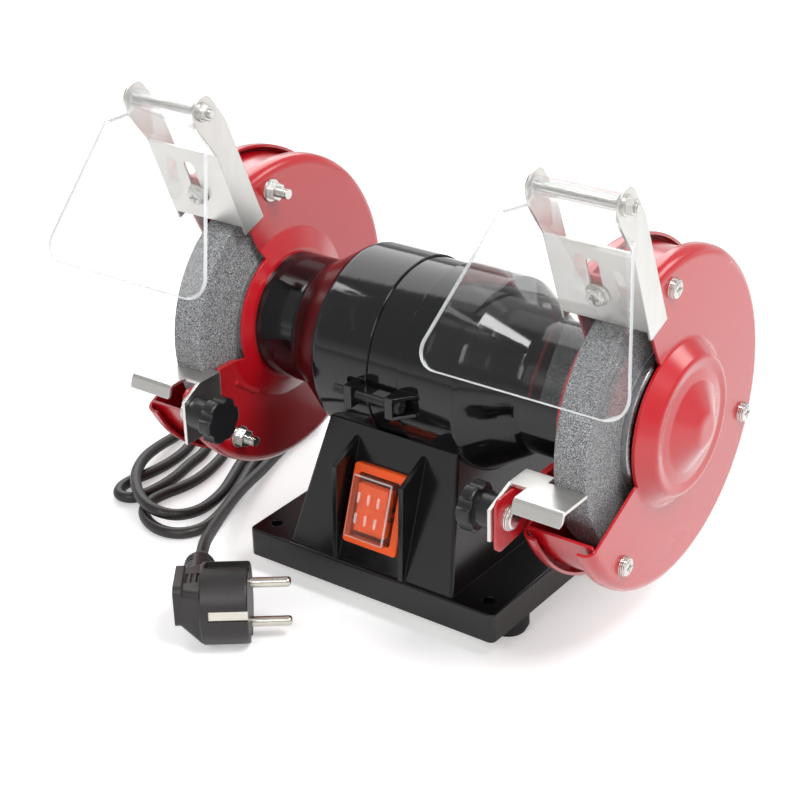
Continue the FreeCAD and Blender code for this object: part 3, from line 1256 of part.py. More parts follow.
def plug_section(x, halves, rise):
    """Rounded rectangle across the plug, raised above its axis."""
    face = outline(rectangle(*halves, PLUG_GRIP_CORNER), lambda y, z: vec(x, y, z + rise))
    return face.OuterWire


def plug_grip():
    """Grip behind the drum, narrowing to a raised rim at its end, with short flutes on top."""
    back = -PLUG_DEPTH - PLUG_GRIP_LENGTH
    block = Part.makeLoft([plug_section(-PLUG_DEPTH, PLUG_GRIP_ROOT, 0),
                           plug_section(back, PLUG_GRIP_TIP, PLUG_GRIP_RISE)], True, True)
    rim_halves = [half + PLUG_RIM_RISE for half in PLUG_GRIP_TIP]
    rim = Part.Face(plug_section(back, rim_halves, PLUG_GRIP_RISE)).extrude(vec(PLUG_RIM_LENGTH, 0, 0))
    slope = (PLUG_GRIP_ROOT[1] - PLUG_GRIP_TIP[1] - PLUG_GRIP_RISE) / PLUG_GRIP_LENGTH
    for index in range(PLUG_FLUTES):
        x = -PLUG_DEPTH - (index + 0.5) * PLUG_FLUTE_PITCH
        top = PLUG_GRIP_ROOT[1] + (x + PLUG_DEPTH) * slope
        start = vec(x, -PLUG_FLUTE_LENGTH / 2, top)
        block = block.cut(Part.makeCylinder(PLUG_FLUTE_R, PLUG_FLUTE_LENGTH, start, Y_AXIS))
    return fused(block, rim)


def plug_relief():
    """Domed strain relief at the side of the grip, grooved on both sides of a smooth spine."""
    dome = PLUG_RELIEF_REACH - PLUG_RELIEF_DOME
    section = [(0, 0), (PLUG_RELIEF_R, 0), (PLUG_RELIEF_R, dome), (PLUG_RELIEF_TIP_R, PLUG_RELIEF_REACH),
               (0, PLUG_RELIEF_REACH)]
    relief = outline(section, lambda r, z: vec(r, 0, z)).revolve(vec(0, 0, 0), Z_AXIS, 360)
    shoulder = [edge for edge in relief.Edges if abs(edge.BoundBox.ZMin - dome) < 1e-6
                and abs(edge.BoundBox.ZMax - dome) < 1e-6]
    relief = relief.makeFillet(PLUG_RELIEF_DOME / 2, shoulder)
    spine = box(-PLUG_SPINE_HALF, PLUG_SPINE_HALF, -PLUG_RELIEF_R, PLUG_RELIEF_R, 0, PLUG_RELIEF_REACH)
    for index in range(PLUG_RELIEF_GROOVES):
        z = dome + PLUG_RELIEF_DOME / 4 - index * PLUG_GROOVE_PITCH
        groove = rod_z(PLUG_RELIEF_R, z, z + PLUG_GROOVE_WIDTH)
        core = rod_z(PLUG_RELIEF_R - PLUG_GROOVE_DEPTH, z, z + PLUG_GROOVE_WIDTH)
        relief = relief.cut(groove.cut(core).cut(spine))
    return aimed(relief, vec(-PLUG_RELIEF_BACK, 0, 0), Y_AXIS)


def plug_body():
    drum = Part.makeCylinder(PLUG_R, PLUG_DEPTH, vec(-PLUG_DEPTH, 0, 0), X_AXIS)
    drum = drum.makeFillet(PLUG_EDGE_ROUND, [drum.Edges[0], drum.Edges[2]])
    body = fused(drum, plug_grip(), plug_relief())
    notch = box(PLUG_NOTCH_END - PLUG_DEPTH, 0, -PLUG_NOTCH_WIDTH / 2, PLUG_NOTCH_WIDTH / 2,
                PLUG_R - PLUG_NOTCH_DEPTH, PLUG_R)
    slot = box(-EARTH_CLIP_LENGTH, 0, PLUG_R - EARTH_SLOT_DEPTH, PLUG_R,
               -EARTH_SLOT_WIDTH / 2, EARTH_SLOT_WIDTH / 2)
    for cutter in rolled_pair(notch) + rolled_pair(slot):
        body = body.cut(cutter)
    return on_plug(body)


def plug_pins():
    pin = Part.makeCylinder(PIN_R, PIN_LENGTH, vec(0, 0, PIN_SPACING / 2), X_AXIS)
    pin = pin.makeFillet(PIN_TIP_ROUND, [pin.Edges[0]])
    return [on_plug(one) for one in rolled_pair(pin)]


def earth_clips():
    floor_y = PLUG_R - EARTH_SLOT_DEPTH
    clip = box(-EARTH_CLIP_LENGTH, 0, floor_y, floor_y + EARTH_CLIP_T, -EARTH_CLIP_WIDTH / 2, EARTH_CLIP_WIDTH / 2)
    return [on_plug(one) for one in rolled_pair(clip)]


# Cord, from the gland's tip to the tip of the plug's strain relief

def cord_points():
    """The route, with a point straight out of the gland and of the strain relief at its two ends."""
    ends = [gland_seat() + Y_AXIS * reach for reach in (GLAND_LENGTH, GLAND_LENGTH + CORD_EXIT)]
    relief = [on_plug(Part.Vertex(-PLUG_RELIEF_BACK, reach, 0)).Point
              for reach in (PLUG_RELIEF_REACH + CORD_EXIT, PLUG_RELIEF_REACH)]
    return ends + [vec(*point) for point in CORD_ROUTE] + relief


def cord_radii(points):
    """Each bend as large as its two runs allow."""
    radii = [0]
    for before, corner, after in zip(points, points[1:], points[2:]):
        turn = (corner - before).getAngle(after - corner)
        shorter = min(before.distanceToPoint(corner), corner.distanceToPoint(after))
        radii.append(CORD_BEND_SHARE * shorter / math.tan(turn / 2))
    return radii + [0]


def cord_path():
    points = cord_points()
    return bent_wire(points, cord_radii(points), False)


def least_self_gap(path):
    points = path.discretize(Distance=CORD_STEP)
    skip = int(CORD_SKIP / CORD_STEP)
    gap = min(first.distanceToPoint(second)
              for index, first in enumerate(points) for second in points[index + skip:])
    return gap - 2 * CORD_R


def cord():
    points = cord_points()
    path = cord_path()
    section = Part.Wire(Part.makeCircle(CORD_R, points[0], points[1] - points[0]))
    return path.makePipeShell([section], True, False)


def describe_cord():
    path = cord_path()
    tube = cord()
    print("cord radii", [round(radius, 1) for radius in cord_radii(cord_points())])
    print("cord length", round(path.Length, 1), "least self gap", round(least_self_gap(path), 2))
    print("cord volume", round(tube.Volume), "section times length", round(math.pi * CORD_R ** 2 * path.Length))


# Nodes

def as_list(shapes):
    return shapes if isinstance(shapes, list) else [shapes]


def sided(name, shape):
    """A piece drawn on the right side and its mirror image on the left."""
    return {name + "_right": [shape], name + "_left": [mirrored(shape)]}


def set_in_pair(name, maker):
    """A piece that is the same on both sides, not mirrored."""
    return {name + "_right": as_list(maker(DRUM_CENTRE)), name + "_left": as_list(maker(-DRUM_CENTRE))}


def all_nodes():
    nodes = {}
    single = [base_pedestal, bottom_plate, rubber_feet, foot_screws, capacitor, capacitor_clip, cord_gland,
              switch_body, switch_bezel, switch_rocker, switch_cover, stator_core, stator_windings,
              rotor_core, rotor_end_rings, shaft, bearing_outer_rings, bearing_inner_rings, bearing_balls,
              tie_screws, saddle_screws, cover_bolts, cover_washers, cover_nuts, guard_screws, wheel_flanges,
              wheel_blotters, arbor_nuts, rest_bolts, bracket_screws, plug_body, plug_pins, earth_clips, cord]
    for maker in single:
        nodes[maker.__name__] = as_list(maker())
    nodes["motor_shell_right"] = [motor_shell(1)]
    nodes["motor_shell_left"] = [motor_shell(-1)]
    wheel_right, wheel_left = wheels()
    nodes["wheel_right"] = [wheel_right]
    nodes["wheel_left"] = [wheel_left]
    nodes["tool_rest_right"] = [tool_rest(WHEEL_SHIFT, *RIGHT_TAB)]
    nodes["tool_rest_left"] = [mirrored(tool_rest(-WHEEL_SHIFT, *LEFT_TAB))]
    nodes["inner_guard_right"] = [inner_guard(RIGHT_EAR_FRONT)]
    nodes["inner_guard_left"] = [mirrored(inner_guard(LEFT_EAR_FRONT))]
    for maker in (guard_band, outer_cover, rest_knob):
        nodes.update(sided(maker.__name__, maker()))
    for maker in (spark_bracket, shield_rod, shield_nut, eye_shield):
        nodes.update(set_in_pair(maker.__name__, maker))
    return nodes


def origin_shift():
    """Move that puts the origin under the middle of the machine, from shield edge to guard back."""
    edge_y = shield_lines()[1][0]
    front = edge_y - SHIELD_SHEET / 2 * math.sin(math.radians(SHIELD_PANEL_DEG))
    return vec(0, -(front + GUARD_R) / 2, 0)


def write_parts():
    os.makedirs("parts", exist_ok=True)
    shift = origin_shift()
    print("origin shift", shift)
    for name, solids in all_nodes().items():
        whole = solids[0] if len(solids) == 1 else Part.makeCompound(solids)
        whole.translated(shift).exportStep("parts/" + name + ".step")


describe_cord()
write_parts()
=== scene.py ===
import json
import math

import bpy
from mathutils import Matrix, Vector


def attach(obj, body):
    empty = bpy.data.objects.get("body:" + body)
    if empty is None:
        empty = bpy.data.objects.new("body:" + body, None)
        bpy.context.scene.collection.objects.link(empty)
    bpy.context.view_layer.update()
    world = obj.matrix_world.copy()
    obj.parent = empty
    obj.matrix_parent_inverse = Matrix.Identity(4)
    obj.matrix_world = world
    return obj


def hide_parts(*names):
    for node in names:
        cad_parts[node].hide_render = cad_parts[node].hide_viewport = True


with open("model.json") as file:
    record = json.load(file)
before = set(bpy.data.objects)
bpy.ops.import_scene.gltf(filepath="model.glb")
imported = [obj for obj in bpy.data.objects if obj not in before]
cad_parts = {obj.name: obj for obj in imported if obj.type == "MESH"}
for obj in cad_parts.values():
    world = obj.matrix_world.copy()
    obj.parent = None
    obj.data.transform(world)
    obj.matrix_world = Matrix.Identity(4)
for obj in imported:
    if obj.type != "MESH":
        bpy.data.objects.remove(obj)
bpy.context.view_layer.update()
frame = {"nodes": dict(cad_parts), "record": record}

nodes = frame["nodes"]
scene = bpy.context.scene
scene.view_settings.view_transform = "Standard"

MM = 0.001

# Camera at the photograph's viewing angle, in millimetres with the shaft at y = 0, degrees and pixels
CAMERA_SPOT = (469.06, -656.24, 491.84)
CAMERA_AZIMUTH = 36.89
CAMERA_ELEVATION = 26.60
CAMERA_ROLL = -1.568
CAMERA_FOCUS_PX = 1903.2
FRAME_PX = 800
SENSOR_MM = 36.0


def world_corners(node):
    return [node.matrix_world @ Vector(corner) for corner in node.bound_box]


def shaft_depth():
    """The shaft's place along Y in the frame, in metres."""
    depths = [corner.y for corner in world_corners(nodes["shaft"])]
    return (min(depths) + max(depths)) / 2


SHAFT_Y = shaft_depth()


def shaft_point(x, y, z):
    """Point in metres from millimetres measured with the shaft at y = 0."""
    return Vector((x, y, z)) * MM + Vector((0, SHAFT_Y, 0))


def add_camera():
    azimuth = math.radians(CAMERA_AZIMUTH)
    elevation = math.radians(CAMERA_ELEVATION)
    roll = math.radians(CAMERA_ROLL)
    level = Vector((math.cos(azimuth), math.sin(azimuth), 0))
    back = Vector((math.sin(azimuth) * math.cos(elevation),
                   -math.cos(azimuth) * math.cos(elevation),
                   math.sin(elevation)))
    upright = back.cross(level)
    right = level * math.cos(roll) + upright * math.sin(roll)
    up = back.cross(right)
    data = bpy.data.cameras.new("camera")
    data.sensor_width = SENSOR_MM
    data.lens = CAMERA_FOCUS_PX / FRAME_PX * SENSOR_MM
    camera = bpy.data.objects.new("camera", data)
    scene.collection.objects.link(camera)
    turn = Matrix((right, up, back)).transposed().to_4x4()
    camera.matrix_world = Matrix.Translation(shaft_point(*CAMERA_SPOT)) @ turn
    scene.camera = camera


add_camera()


# Cord: the control points run from the gland's tip to the tip of the plug's strain relief
CORD_R = 3.0
CORD_OFF_FLOOR = 0.2
FLOOR_LAY = CORD_R + CORD_OFF_FLOOR
CORD_ORDER = 3
CORD_STEPS_ROUND = 6
CORD_STEPS_ALONG = 10
CORD_START = (-30.0, 86.5, 17.25)
CORD_END = (-77.9, -89.3, 19.0)
CORD_ROUTE = [
    (-30.0, 98.5, 17.25), (-36.0, 108.0, 11.0), (-50.0, 117.0, 5.5),
    (-70.0, 121.5, FLOOR_LAY), (-95.0, 121.0, FLOOR_LAY), (-122.0, 115.0, FLOOR_LAY),
    (-150.0, 108.0, FLOOR_LAY), (-186.0, 101.0, FLOOR_LAY), (-209.0, 78.0, FLOOR_LAY),
    (-209.0, 58.0, FLOOR_LAY), (-203.0, 40.0, FLOOR_LAY), (-194.0, 22.0, FLOOR_LAY),
    (-190.0, 2.0, 6.5), (-183.0, -19.0, 9.8), (-173.0, -36.0, 9.8),
    (-157.0, -50.0, 9.8), (-141.0, -57.0, 9.8), (-130.0, -52.0, 7.0),
    (-126.5, -37.0, 4.0), (-129.5, -17.0, FLOOR_LAY), (-137.5, 2.0, FLOOR_LAY),
    (-144.0, 16.0, FLOOR_LAY), (-150.0, 34.0, FLOOR_LAY), (-152.0, 53.0, FLOOR_LAY),
    (-152.0, 69.5, FLOOR_LAY), (-162.5, 80.0, FLOOR_LAY), (-177.5, 80.0, FLOOR_LAY),
    (-188.0, 69.5, FLOOR_LAY), (-187.0, 53.0, FLOOR_LAY), (-172.0, 36.0, FLOOR_LAY),
    (-160.0, 24.0, FLOOR_LAY), (-154.0, 7.0, FLOOR_LAY), (-151.0, -9.0, FLOOR_LAY),
    (-152.0, -22.0, FLOOR_LAY), (-155.5, -33.0, FLOOR_LAY), (-156.5, -44.0, FLOOR_LAY),
    (-151.0, -54.0, FLOOR_LAY), (-139.0, -61.0, FLOOR_LAY), (-127.0, -62.0, FLOOR_LAY),
    (-118.0, -57.0, FLOOR_LAY), (-114.0, -47.0, FLOOR_LAY), (-116.0, -34.0, FLOOR_LAY),
    (-121.5, -18.0, FLOOR_LAY), (-129.5, 1.0, FLOOR_LAY), (-136.5, 16.0, FLOOR_LAY),
    (-142.0, 36.0, FLOOR_LAY), (-145.0, 55.0, FLOOR_LAY), (-145.0, 72.4, FLOOR_LAY),
    (-159.6, 87.0, FLOOR_LAY), (-180.4, 87.0, FLOOR_LAY), (-195.0, 72.4, FLOOR_LAY),
    (-195.0, 54.0, FLOOR_LAY), (-178.0, 31.0, FLOOR_LAY), (-168.0, 14.0, FLOOR_LAY),
    (-166.3, 0.0, FLOOR_LAY), (-163.0, -14.0, FLOOR_LAY), (-162.0, -26.0, FLOOR_LAY),
    (-163.3, -39.0, FLOOR_LAY), (-166.5, -46.2, FLOOR_LAY), (-174.8, -47.4, FLOOR_LAY),
    (-179.8, -40.5, FLOOR_LAY), (-180.0, -31.0, FLOOR_LAY), (-177.0, -20.0, FLOOR_LAY),
    (-176.0, -6.0, FLOOR_LAY), (-178.0, 10.0, FLOOR_LAY), (-186.0, 28.0, FLOOR_LAY),
    (-197.0, 44.0, FLOOR_LAY), (-202.0, 58.0, FLOOR_LAY), (-202.0, 75.3, FLOOR_LAY),
    (-183.2, 94.0, FLOOR_LAY), (-156.8, 94.0, FLOOR_LAY), (-138.0, 75.3, FLOOR_LAY),
    (-138.0, 56.0, FLOOR_LAY), (-135.0, 37.0, FLOOR_LAY), (-129.0, 18.0, 4.0),
    (-124.5, 5.0, 6.0), (-117.0, -17.0, 9.0), (-107.0, -41.0, 11.0),
    (-95.5, -63.0, 14.5), (-85.1, -79.7, 19.0),
]


def add_cord(material):
    """Round cord on one smooth curve, in place of the CAD model's cord."""
    points = [shaft_point(*spot) for spot in [CORD_START] + CORD_ROUTE + [CORD_END]]
    data = bpy.data.curves.new("mains_cord", "CURVE")
    data.dimensions = "3D"
    data.bevel_depth = CORD_R * MM
    data.bevel_resolution = CORD_STEPS_ROUND
    data.resolution_u = CORD_STEPS_ALONG
    spline = data.splines.new("NURBS")
    spline.points.add(len(points) - 1)
    for target, point in zip(spline.points, points):
        target.co = (*point, 1)
    spline.order_u = CORD_ORDER
    spline.use_endpoint_u = True
    data.materials.append(material)
    cord = bpy.data.objects.new("mains_cord", data)
    scene.collection.objects.link(cord)
    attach(cord, "housing")
    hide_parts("cord")


# Material helpers

def link(tree, source, target):
    tree.links.new(source, target)


def new_material(name):
    material = bpy.data.materials.new(name)
    material.use_nodes = True
    return material, material.node_tree, material.node_tree.nodes["Principled BSDF"]


def placed_coordinates(tree, stretch=(1, 1, 1)):
    """The piece's own coordinates in metres, stretched for streaks."""
    coordinates = tree.nodes.new("ShaderNodeTexCoord")
    mapping = tree.nodes.new("ShaderNodeMapping")
    mapping.inputs["Scale"].default_value = stretch
    link(tree, coordinates.outputs["Object"], mapping.inputs["Vector"])
    return mapping.outputs["Vector"]


def noise(tree, vector, scale, detail=3.0):
    texture = tree.nodes.new("ShaderNodeTexNoise")
    texture.inputs["Scale"].default_value = scale
    texture.inputs["Detail"].default_value = detail
    link(tree, vector, texture.inputs["Vector"])
    return texture.outputs["Fac"]


def blended(tree, factor, low, high, start=0.1, end=0.9):
    """Colour from low to high as a factor goes from start to end."""
    ramp = tree.nodes.new("ShaderNodeValToRGB")
    ramp.color_ramp.elements[0].position = start
    ramp.color_ramp.elements[0].color = (*low, 1)
    ramp.color_ramp.elements[1].position = end
    ramp.color_ramp.elements[1].color = (*high, 1)
    link(tree, factor, ramp.inputs["Fac"])
    return ramp.outputs["Color"]


def ranged(tree, factor, low, high, start=0.0, end=1.0):
    """Number from low to high as a factor goes from start to end."""
    mapped = tree.nodes.new("ShaderNodeMapRange")
    mapped.inputs["From Min"].default_value = start
    mapped.inputs["From Max"].default_value = end
    mapped.inputs["To Min"].default_value = low
    mapped.inputs["To Max"].default_value = high
    link(tree, factor, mapped.inputs["Value"])
    return mapped.outputs["Result"]


EDGE_ROUND = 0.6 * MM
EDGE_SAMPLES = 4


def soft_edges(tree):
    """Normal that rounds the piece's edges."""
    node = tree.nodes.new("ShaderNodeBevel")
    node.samples = EDGE_SAMPLES
    node.inputs["Radius"].default_value = EDGE_ROUND
    return node.outputs["Normal"]


def bump(tree, height, distance, under, strength=1.0):
    """Normal under, raised by a height of up to the distance in metres."""
    node = tree.nodes.new("ShaderNodeBump")
    node.inputs["Strength"].default_value = strength
    node.inputs["Distance"].default_value = distance
    link(tree, height, node.inputs["Height"])
    link(tree, under, node.inputs["Normal"])
    return node.outputs["Normal"]


def surface(name, low, high, roughness, metallic=0.0, scale=60.0, stretch=(1, 1, 1), grain=900.0,
            grain_depth=0.02, coat=0.0, coat_roughness=0.05):
    """Material whose colour and roughness drift over the surface, with a fine grain in its normal."""
    material, tree, shader = new_material(name)
    vector = placed_coordinates(tree, stretch)
    drift = noise(tree, vector, scale)
    link(tree, blended(tree, drift, low, high), shader.inputs["Base Color"])
    link(tree, ranged(tree, drift, *roughness), shader.inputs["Roughness"])
    grained = bump(tree, noise(tree, vector, grain), grain_depth * MM, soft_edges(tree))
    link(tree, grained, shader.inputs["Normal"])
    shader.inputs["Metallic"].default_value = metallic
    shader.inputs["Coat Weight"].default_value = coat
    shader.inputs["Coat Roughness"].default_value = coat_roughness
    return material


# Length of one wave in the wave texture at a scale of 1
WAVE_LENGTH = math.pi / 10
THREAD_PITCH = 0.8 * MM
THREAD_DEPTH = 0.3 * MM


def add_thread(material):
    """Adds the thread of screws that lie along X."""
    tree = material.node_tree
    shader = tree.nodes["Principled BSDF"]
    wave = tree.nodes.new("ShaderNodeTexWave")
    wave.bands_direction = "X"
    wave.inputs["Scale"].default_value = WAVE_LENGTH / THREAD_PITCH
    link(tree, placed_coordinates(tree), wave.inputs["Vector"])
    under = shader.inputs["Normal"].links[0].from_socket
    link(tree, bump(tree, wave.outputs["Fac"], THREAD_DEPTH, under), shader.inputs["Normal"])


# Bonded grit of the wheels
GRIT_SCALE = 1600.0
GRIT_DARK = (0.35, 0.35, 0.36)
GRIT_PALE = (1.0, 1.0, 1.0)
GRIT_SHARE = 0.7
GRIT_DEPTH = 0.4 * MM
GRIT_STRENGTH = 0.6
GRIT_ROUGHNESS = 0.75
SPECK_SCALE = 2400.0
SPECK_DETAIL = 1.0
SPECK_DARK = (0.060, 0.063, 0.068)
SPECK_PALE = (0.78, 0.79, 0.80)
SPECK_START = 0.36
SPECK_END = 0.72


def abrasive(name):
    """Bonded grit: dark and pale specks under grains that each have a shade of their own."""
    material, tree, shader = new_material(name)
    vector = placed_coordinates(tree)
    grains = tree.nodes.new("ShaderNodeTexVoronoi")
    grains.inputs["Scale"].default_value = GRIT_SCALE
    link(tree, vector, grains.inputs["Vector"])
    speck = noise(tree, vector, SPECK_SCALE, SPECK_DETAIL)
    mix = tree.nodes.new("ShaderNodeMix")
    mix.data_type = "RGBA"
    mix.blend_type = "MULTIPLY"
    share, first, second = mix.inputs[0], mix.inputs[6], mix.inputs[7]
    share.default_value = GRIT_SHARE
    link(tree, blended(tree, speck, SPECK_DARK, SPECK_PALE, SPECK_START, SPECK_END), first)
    link(tree, blended(tree, grains.outputs["Color"], GRIT_DARK, GRIT_PALE), second)
    link(tree, mix.outputs[2], shader.inputs["Base Color"])
    rough = bump(tree, grains.outputs["Distance"], GRIT_DEPTH, soft_edges(tree), GRIT_STRENGTH)
    link(tree, bump(tree, speck, GRIT_DEPTH, rough, GRIT_STRENGTH), shader.inputs["Normal"])
    shader.inputs["Roughness"].default_value = GRIT_ROUGHNESS
    return material


HAZE_SCALE = 120.0
PLASTIC_IOR = 1.49


def clear(name, tint, roughness, alpha, transmission=1.0):
    """Clear plastic with a faint haze."""
    material, tree, shader = new_material(name)
    haze = noise(tree, placed_coordinates(tree), HAZE_SCALE)
    link(tree, ranged(tree, haze, *roughness), shader.inputs["Roughness"])
    shader.inputs["Base Color"].default_value = (*tint, 1)
    shader.inputs["Transmission Weight"].default_value = transmission
    shader.inputs["IOR"].default_value = PLASTIC_IOR
    shader.inputs["Alpha"].default_value = alpha
    return material


# Surfaces by slot: colour from low to high, a range of roughness, and a grain with its depth in millimetres
SURFACES = {
    "red_paint": dict(low=(0.50, 0.003, 0.010), high=(0.55, 0.005, 0.013), roughness=(0.24, 0.30),
                      scale=12, grain=90, coat=1.0, coat_roughness=0.2),
    "black_enamel": dict(low=(0.004, 0.004, 0.005), high=(0.007, 0.007, 0.008), roughness=(0.07, 0.11),
                         scale=30, grain=250, grain_depth=0.03),
    "black_base": dict(low=(0.004, 0.004, 0.0045), high=(0.007, 0.007, 0.0075), roughness=(0.16, 0.22),
                       scale=90, grain=1500),
    "knob_black": dict(low=(0.008, 0.008, 0.009), high=(0.014, 0.014, 0.016), roughness=(0.26, 0.34),
                       scale=120, grain=1800),
    "switch_black": dict(low=(0.012, 0.012, 0.012), high=(0.02, 0.02, 0.02), roughness=(0.4, 0.5)),
    "rubber": dict(low=(0.010, 0.010, 0.010), high=(0.02, 0.019, 0.019), roughness=(0.6, 0.75), scale=200),
    "cord_black": dict(low=(0.019, 0.017, 0.0165), high=(0.028, 0.025, 0.024), roughness=(0.34, 0.44),
                       scale=150, grain=2200, grain_depth=0.03),
    "zinc_sheet": dict(low=(0.66, 0.65, 0.62), high=(0.80, 0.79, 0.77), roughness=(0.26, 0.36),
                       metallic=1.0, scale=45, stretch=(1, 4, 1), grain=600),
    "bright_screws": dict(low=(0.62, 0.61, 0.58), high=(0.80, 0.79, 0.76), roughness=(0.18, 0.30),
                          metallic=1.0, scale=160),
    "black_screws": dict(low=(0.010, 0.010, 0.010), high=(0.022, 0.021, 0.020), roughness=(0.25, 0.38),
                         scale=160),
    "nickel": dict(low=(0.62, 0.58, 0.50), high=(0.76, 0.73, 0.66), roughness=(0.16, 0.26),
                   metallic=1.0, scale=140),
    "switch_orange": dict(low=(0.92, 0.10, 0.014), high=(0.98, 0.12, 0.018), roughness=(0.28, 0.36),
                          scale=80, grain=1600),
    "capacitor_case": dict(low=(0.62, 0.62, 0.60), high=(0.74, 0.74, 0.71), roughness=(0.3, 0.4)),
    "lamination_steel": dict(low=(0.25, 0.25, 0.26), high=(0.38, 0.38, 0.39), roughness=(0.35, 0.5),
                             metallic=1.0, scale=800, stretch=(6, 0.2, 0.2)),
    "winding_copper": dict(low=(0.42, 0.14, 0.05), high=(0.62, 0.26, 0.10), roughness=(0.25, 0.4),
                           metallic=0.8, scale=700, stretch=(0.3, 1, 1), grain_depth=0.3),
    "cast_aluminium": dict(low=(0.55, 0.55, 0.56), high=(0.72, 0.72, 0.73), roughness=(0.35, 0.5),
                           metallic=1.0),
    "bearing_steel": dict(low=(0.60, 0.60, 0.60), high=(0.74, 0.74, 0.74), roughness=(0.12, 0.2),
                          metallic=1.0),
    "ground_steel": dict(low=(0.42, 0.42, 0.43), high=(0.58, 0.58, 0.59), roughness=(0.22, 0.34),
                         metallic=1.0, scale=300, stretch=(8, 1, 1)),
    "blotter_paper": dict(low=(0.30, 0.30, 0.30), high=(0.42, 0.42, 0.41), roughness=(0.7, 0.85),
                          scale=400),
}
THREADED = ("bright_screws", "black_screws")

# Clear plastics, with the paler ones as painted highlights on the edges of the shields and of the boot
CLEAR_PLASTICS = {
    "clear_boot": dict(tint=(0.98, 0.95, 0.95), roughness=(0.02, 0.05), alpha=0.22),
    "clear_shield": dict(tint=(0.97, 0.985, 0.99), roughness=(0.0, 0.02), alpha=0.18),
    "shield_edge_highlight": dict(tint=(0.86, 0.88, 0.89), roughness=(0.08, 0.16), alpha=0.8, transmission=0.3),
    "shield_barrel": dict(tint=(0.95, 0.96, 0.97), roughness=(0.02, 0.06), alpha=0.4),
    "boot_edge_highlight": dict(tint=(0.95, 0.92, 0.92), roughness=(0.15, 0.25), alpha=0.45, transmission=0.0),
}


def all_materials():
    made = {name: surface(name, **look) for name, look in SURFACES.items()}
    for name in THREADED:
        add_thread(made[name])
    for name, look in CLEAR_PLASTICS.items():
        made[name] = clear(name, **look)
    made["abrasive_grey"] = abrasive("abrasive_grey")
    return made


def dress_nodes(materials):
    for row in frame["record"]["subparts"]:
        data = nodes[row["node"]].data
        data.materials.clear()
        data.materials.append(materials[row["material_slot"]])


def mark_faces(node, material, chosen):
    """Gives one more material to the faces that a test on centre and outward direction picks."""
    data = node.data
    data.materials.append(material)
    turn = node.matrix_world.to_3x3()
    for face in data.polygons:
        if chosen(node.matrix_world @ face.center, turn @ face.normal):
            face.material_index = len(data.materials) - 1


def middle(node):
    corners = world_corners(node)
    return sum(corners, Vector()) / len(corners)


# Bands of the painted highlight on the shield's lower and side edges, and of the paler plastic round its
# rod
SHIELD_HIGHLIGHT_BAND = 2.5 * MM
SHIELD_BARREL_BAND = 6.5 * MM
SIDE_TURN = 0.3


def mark_shield_barrels_and_highlights(edge, barrel):
    """Paler plastic round the shield's rod, and a painted highlight of paler plastic on its side edges and
    along its lower edge.
    """
    for side in ("left", "right"):
        shield = nodes["eye_shield_" + side]
        rod = middle(nodes["shield_rod_" + side])
        lowest = min(corner.z for corner in world_corners(shield))
        mark_faces(shield, barrel, lambda centre, outward: (centre - rod).yz.length < SHIELD_BARREL_BAND)
        mark_faces(shield, edge, lambda centre, outward: abs(outward.x) > SIDE_TURN
                   or centre.z < lowest + SHIELD_HIGHLIGHT_BAND)


# Bands of the painted highlight on the boot's rim and on its raised marks
BOOT_RIM_HIGHLIGHT_BAND = 1.2 * MM
BOOT_MARK_HIGHLIGHT_BAND = 0.3 * MM
FLAT_TURN = 0.9


def upper_front_area(face):
    """The area of a face that looks up and to the front, or nothing for any other face."""
    return face.area if face.normal.z > 0 > face.normal.y else 0


def paint_boot_highlights(material):
    """Painted highlight: pale lines round the boot's rim and on its raised marks."""
    boot = nodes["switch_cover"]
    widest = max(boot.data.polygons, key=upper_front_area)
    outward = boot.matrix_world.to_3x3() @ widest.normal
    top = max(outward.dot(boot.matrix_world @ vertex.co) for vertex in boot.data.vertices)
    mark_faces(boot, material, lambda centre, normal: outward.dot(centre) > top - BOOT_MARK_HIGHLIGHT_BAND
               or outward.dot(centre) > top - BOOT_RIM_HIGHLIGHT_BAND and normal.dot(outward) < FLAT_TURN)


materials = all_materials()
dress_nodes(materials)
# Painted highlights on the side and lower edges of the shields
mark_shield_barrels_and_highlights(materials["shield_edge_highlight"], materials["shield_barrel"])
# Painted highlight on the boot's rim and raised marks
paint_boot_highlights(materials["boot_edge_highlight"])
add_cord(materials["cord_black"])


# Floor, backdrop and light
FLOOR_HALF = 6.0
FLOOR_COLOUR = (0.86, 0.86, 0.86)
FLOOR_ROUGHNESS = 0.7
FLOOR_GLOW = 0.38
MIRRORED_GLOW = 0.15
GLOW_NEAR = 0.7
GLOW_FAR = 2.2
WHITE = 1.0
WORLD_FILL = 0.35
SKY_LOW = 0.0
SKY_HIGH = 0.18
SKY_DARK = 0.45


def mixed(tree, factor, low, high):
    """Number from low to high, each of them a number or a socket."""
    mix = tree.nodes.new("ShaderNodeMix")
    share, first, second = mix.inputs[0], mix.inputs[2], mix.inputs[3]
    link(tree, factor, share)
    for socket, value in ((first, low), (second, high)):
        if isinstance(value, float):
            socket.default_value = value
        else:
            link(tree, value, socket)
    return mix.outputs[0]


def mirrored_rays(tree, path):
    """One for rays that metal, gloss or clear plastic sends on."""
    either = tree.nodes.new("ShaderNodeMath")
    either.operation = "MAXIMUM"
    link(tree, path.outputs["Is Glossy Ray"], either.inputs[0])
    link(tree, path.outputs["Is Transmission Ray"], either.inputs[1])
    return either.outputs["Value"]


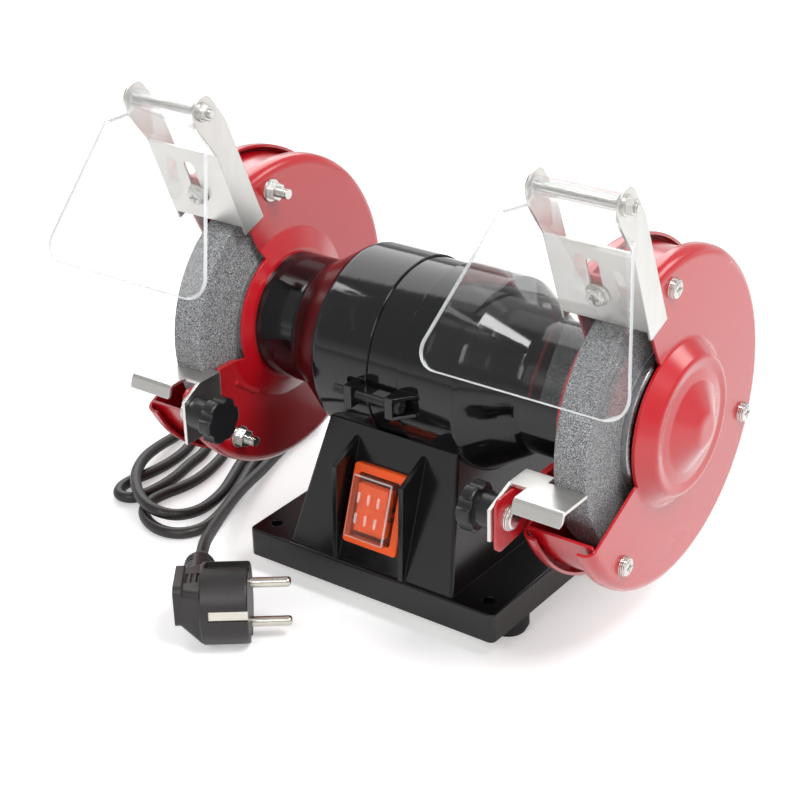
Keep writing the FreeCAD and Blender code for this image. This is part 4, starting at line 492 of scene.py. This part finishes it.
def add_floor():
    """Pale floor that keeps the shadow near the part and whitens into the backdrop."""
    data = bpy.data.meshes.new("floor")
    corners = [(x * FLOOR_HALF, y * FLOOR_HALF, 0) for x, y in ((-1, -1), (1, -1), (1, 1), (-1, 1))]
    data.from_pydata(corners, [], [(0, 1, 2, 3)])
    floor = bpy.data.objects.new("floor", data)
    scene.collection.objects.link(floor)
    material, tree, shader = new_material("floor")
    shader.inputs["Base Color"].default_value = (*FLOOR_COLOUR, 1)
    shader.inputs["Roughness"].default_value = FLOOR_ROUGHNESS
    path = tree.nodes.new("ShaderNodeLightPath")
    seen = mixed(tree, mirrored_rays(tree, path), 0.0, MIRRORED_GLOW)
    distance = tree.nodes.new("ShaderNodeVectorMath")
    distance.operation = "LENGTH"
    link(tree, placed_coordinates(tree), distance.inputs[0])
    whitening = ranged(tree, distance.outputs["Value"], FLOOR_GLOW, WHITE, GLOW_NEAR, GLOW_FAR)
    glow = tree.nodes.new("ShaderNodeEmission")
    link(tree, mixed(tree, path.outputs["Is Camera Ray"], seen, whitening), glow.inputs["Strength"])
    both = tree.nodes.new("ShaderNodeAddShader")
    link(tree, shader.outputs["BSDF"], both.inputs[0])
    link(tree, glow.outputs["Emission"], both.inputs[1])
    link(tree, both.outputs["Shader"], tree.nodes["Material Output"].inputs["Surface"])
    data.materials.append(material)


def light_world():
    """White where the camera looks; mirrors see it white at the horizon and darker overhead."""
    world = bpy.data.worlds.new("world")
    scene.world = world
    world.use_nodes = True
    tree = world.node_tree
    background = tree.nodes["Background"]
    background.inputs["Color"].default_value = (WHITE, WHITE, WHITE, 1)
    direction = tree.nodes.new("ShaderNodeTexCoord")
    parts = tree.nodes.new("ShaderNodeSeparateXYZ")
    link(tree, direction.outputs["Generated"], parts.inputs["Vector"])
    sky = ranged(tree, parts.outputs["Z"], WHITE, SKY_DARK, SKY_LOW, SKY_HIGH)
    path = tree.nodes.new("ShaderNodeLightPath")
    seen = mixed(tree, mirrored_rays(tree, path), WORLD_FILL, sky)
    link(tree, mixed(tree, path.outputs["Is Camera Ray"], seen, WHITE), background.inputs["Strength"])


# Soft boxes: place, aim and size in metres, and power in watts
SOFT_BOXES = {
    "back_left_box": dict(spot=(-0.85, 0.75, 1.05), target=(0, 0, 0.1), size=(1.4, 1.2), power=12),
    "right_box": dict(spot=(0.75, -0.19, 1.24), target=(0.06, -0.03, 0.15), size=(0.38, 0.46), power=12),
    "back_right_box": dict(spot=(0.8, 0.9, 1.0), target=(0.3, 0.25, 0), size=(0.5, 0.5), power=3),
    "front_box": dict(spot=(0.25, -1.35, 1.15), target=(0, 0, 0.1), size=(0.9, 0.6), power=8),
}


def add_soft_box(name, spot, target, size, power):
    data = bpy.data.lights.new(name, "AREA")
    data.shape = "RECTANGLE"
    data.size, data.size_y = size
    data.energy = power
    lamp = bpy.data.objects.new(name, data)
    scene.collection.objects.link(lamp)
    lamp.location = spot
    lamp.rotation_euler = (Vector(target) - Vector(spot)).to_track_quat("-Z", "Y").to_euler()


add_floor()
light_world()
for box_name, box in SOFT_BOXES.items():
    add_soft_box(box_name, **box)


bpy.context.view_layer.update()
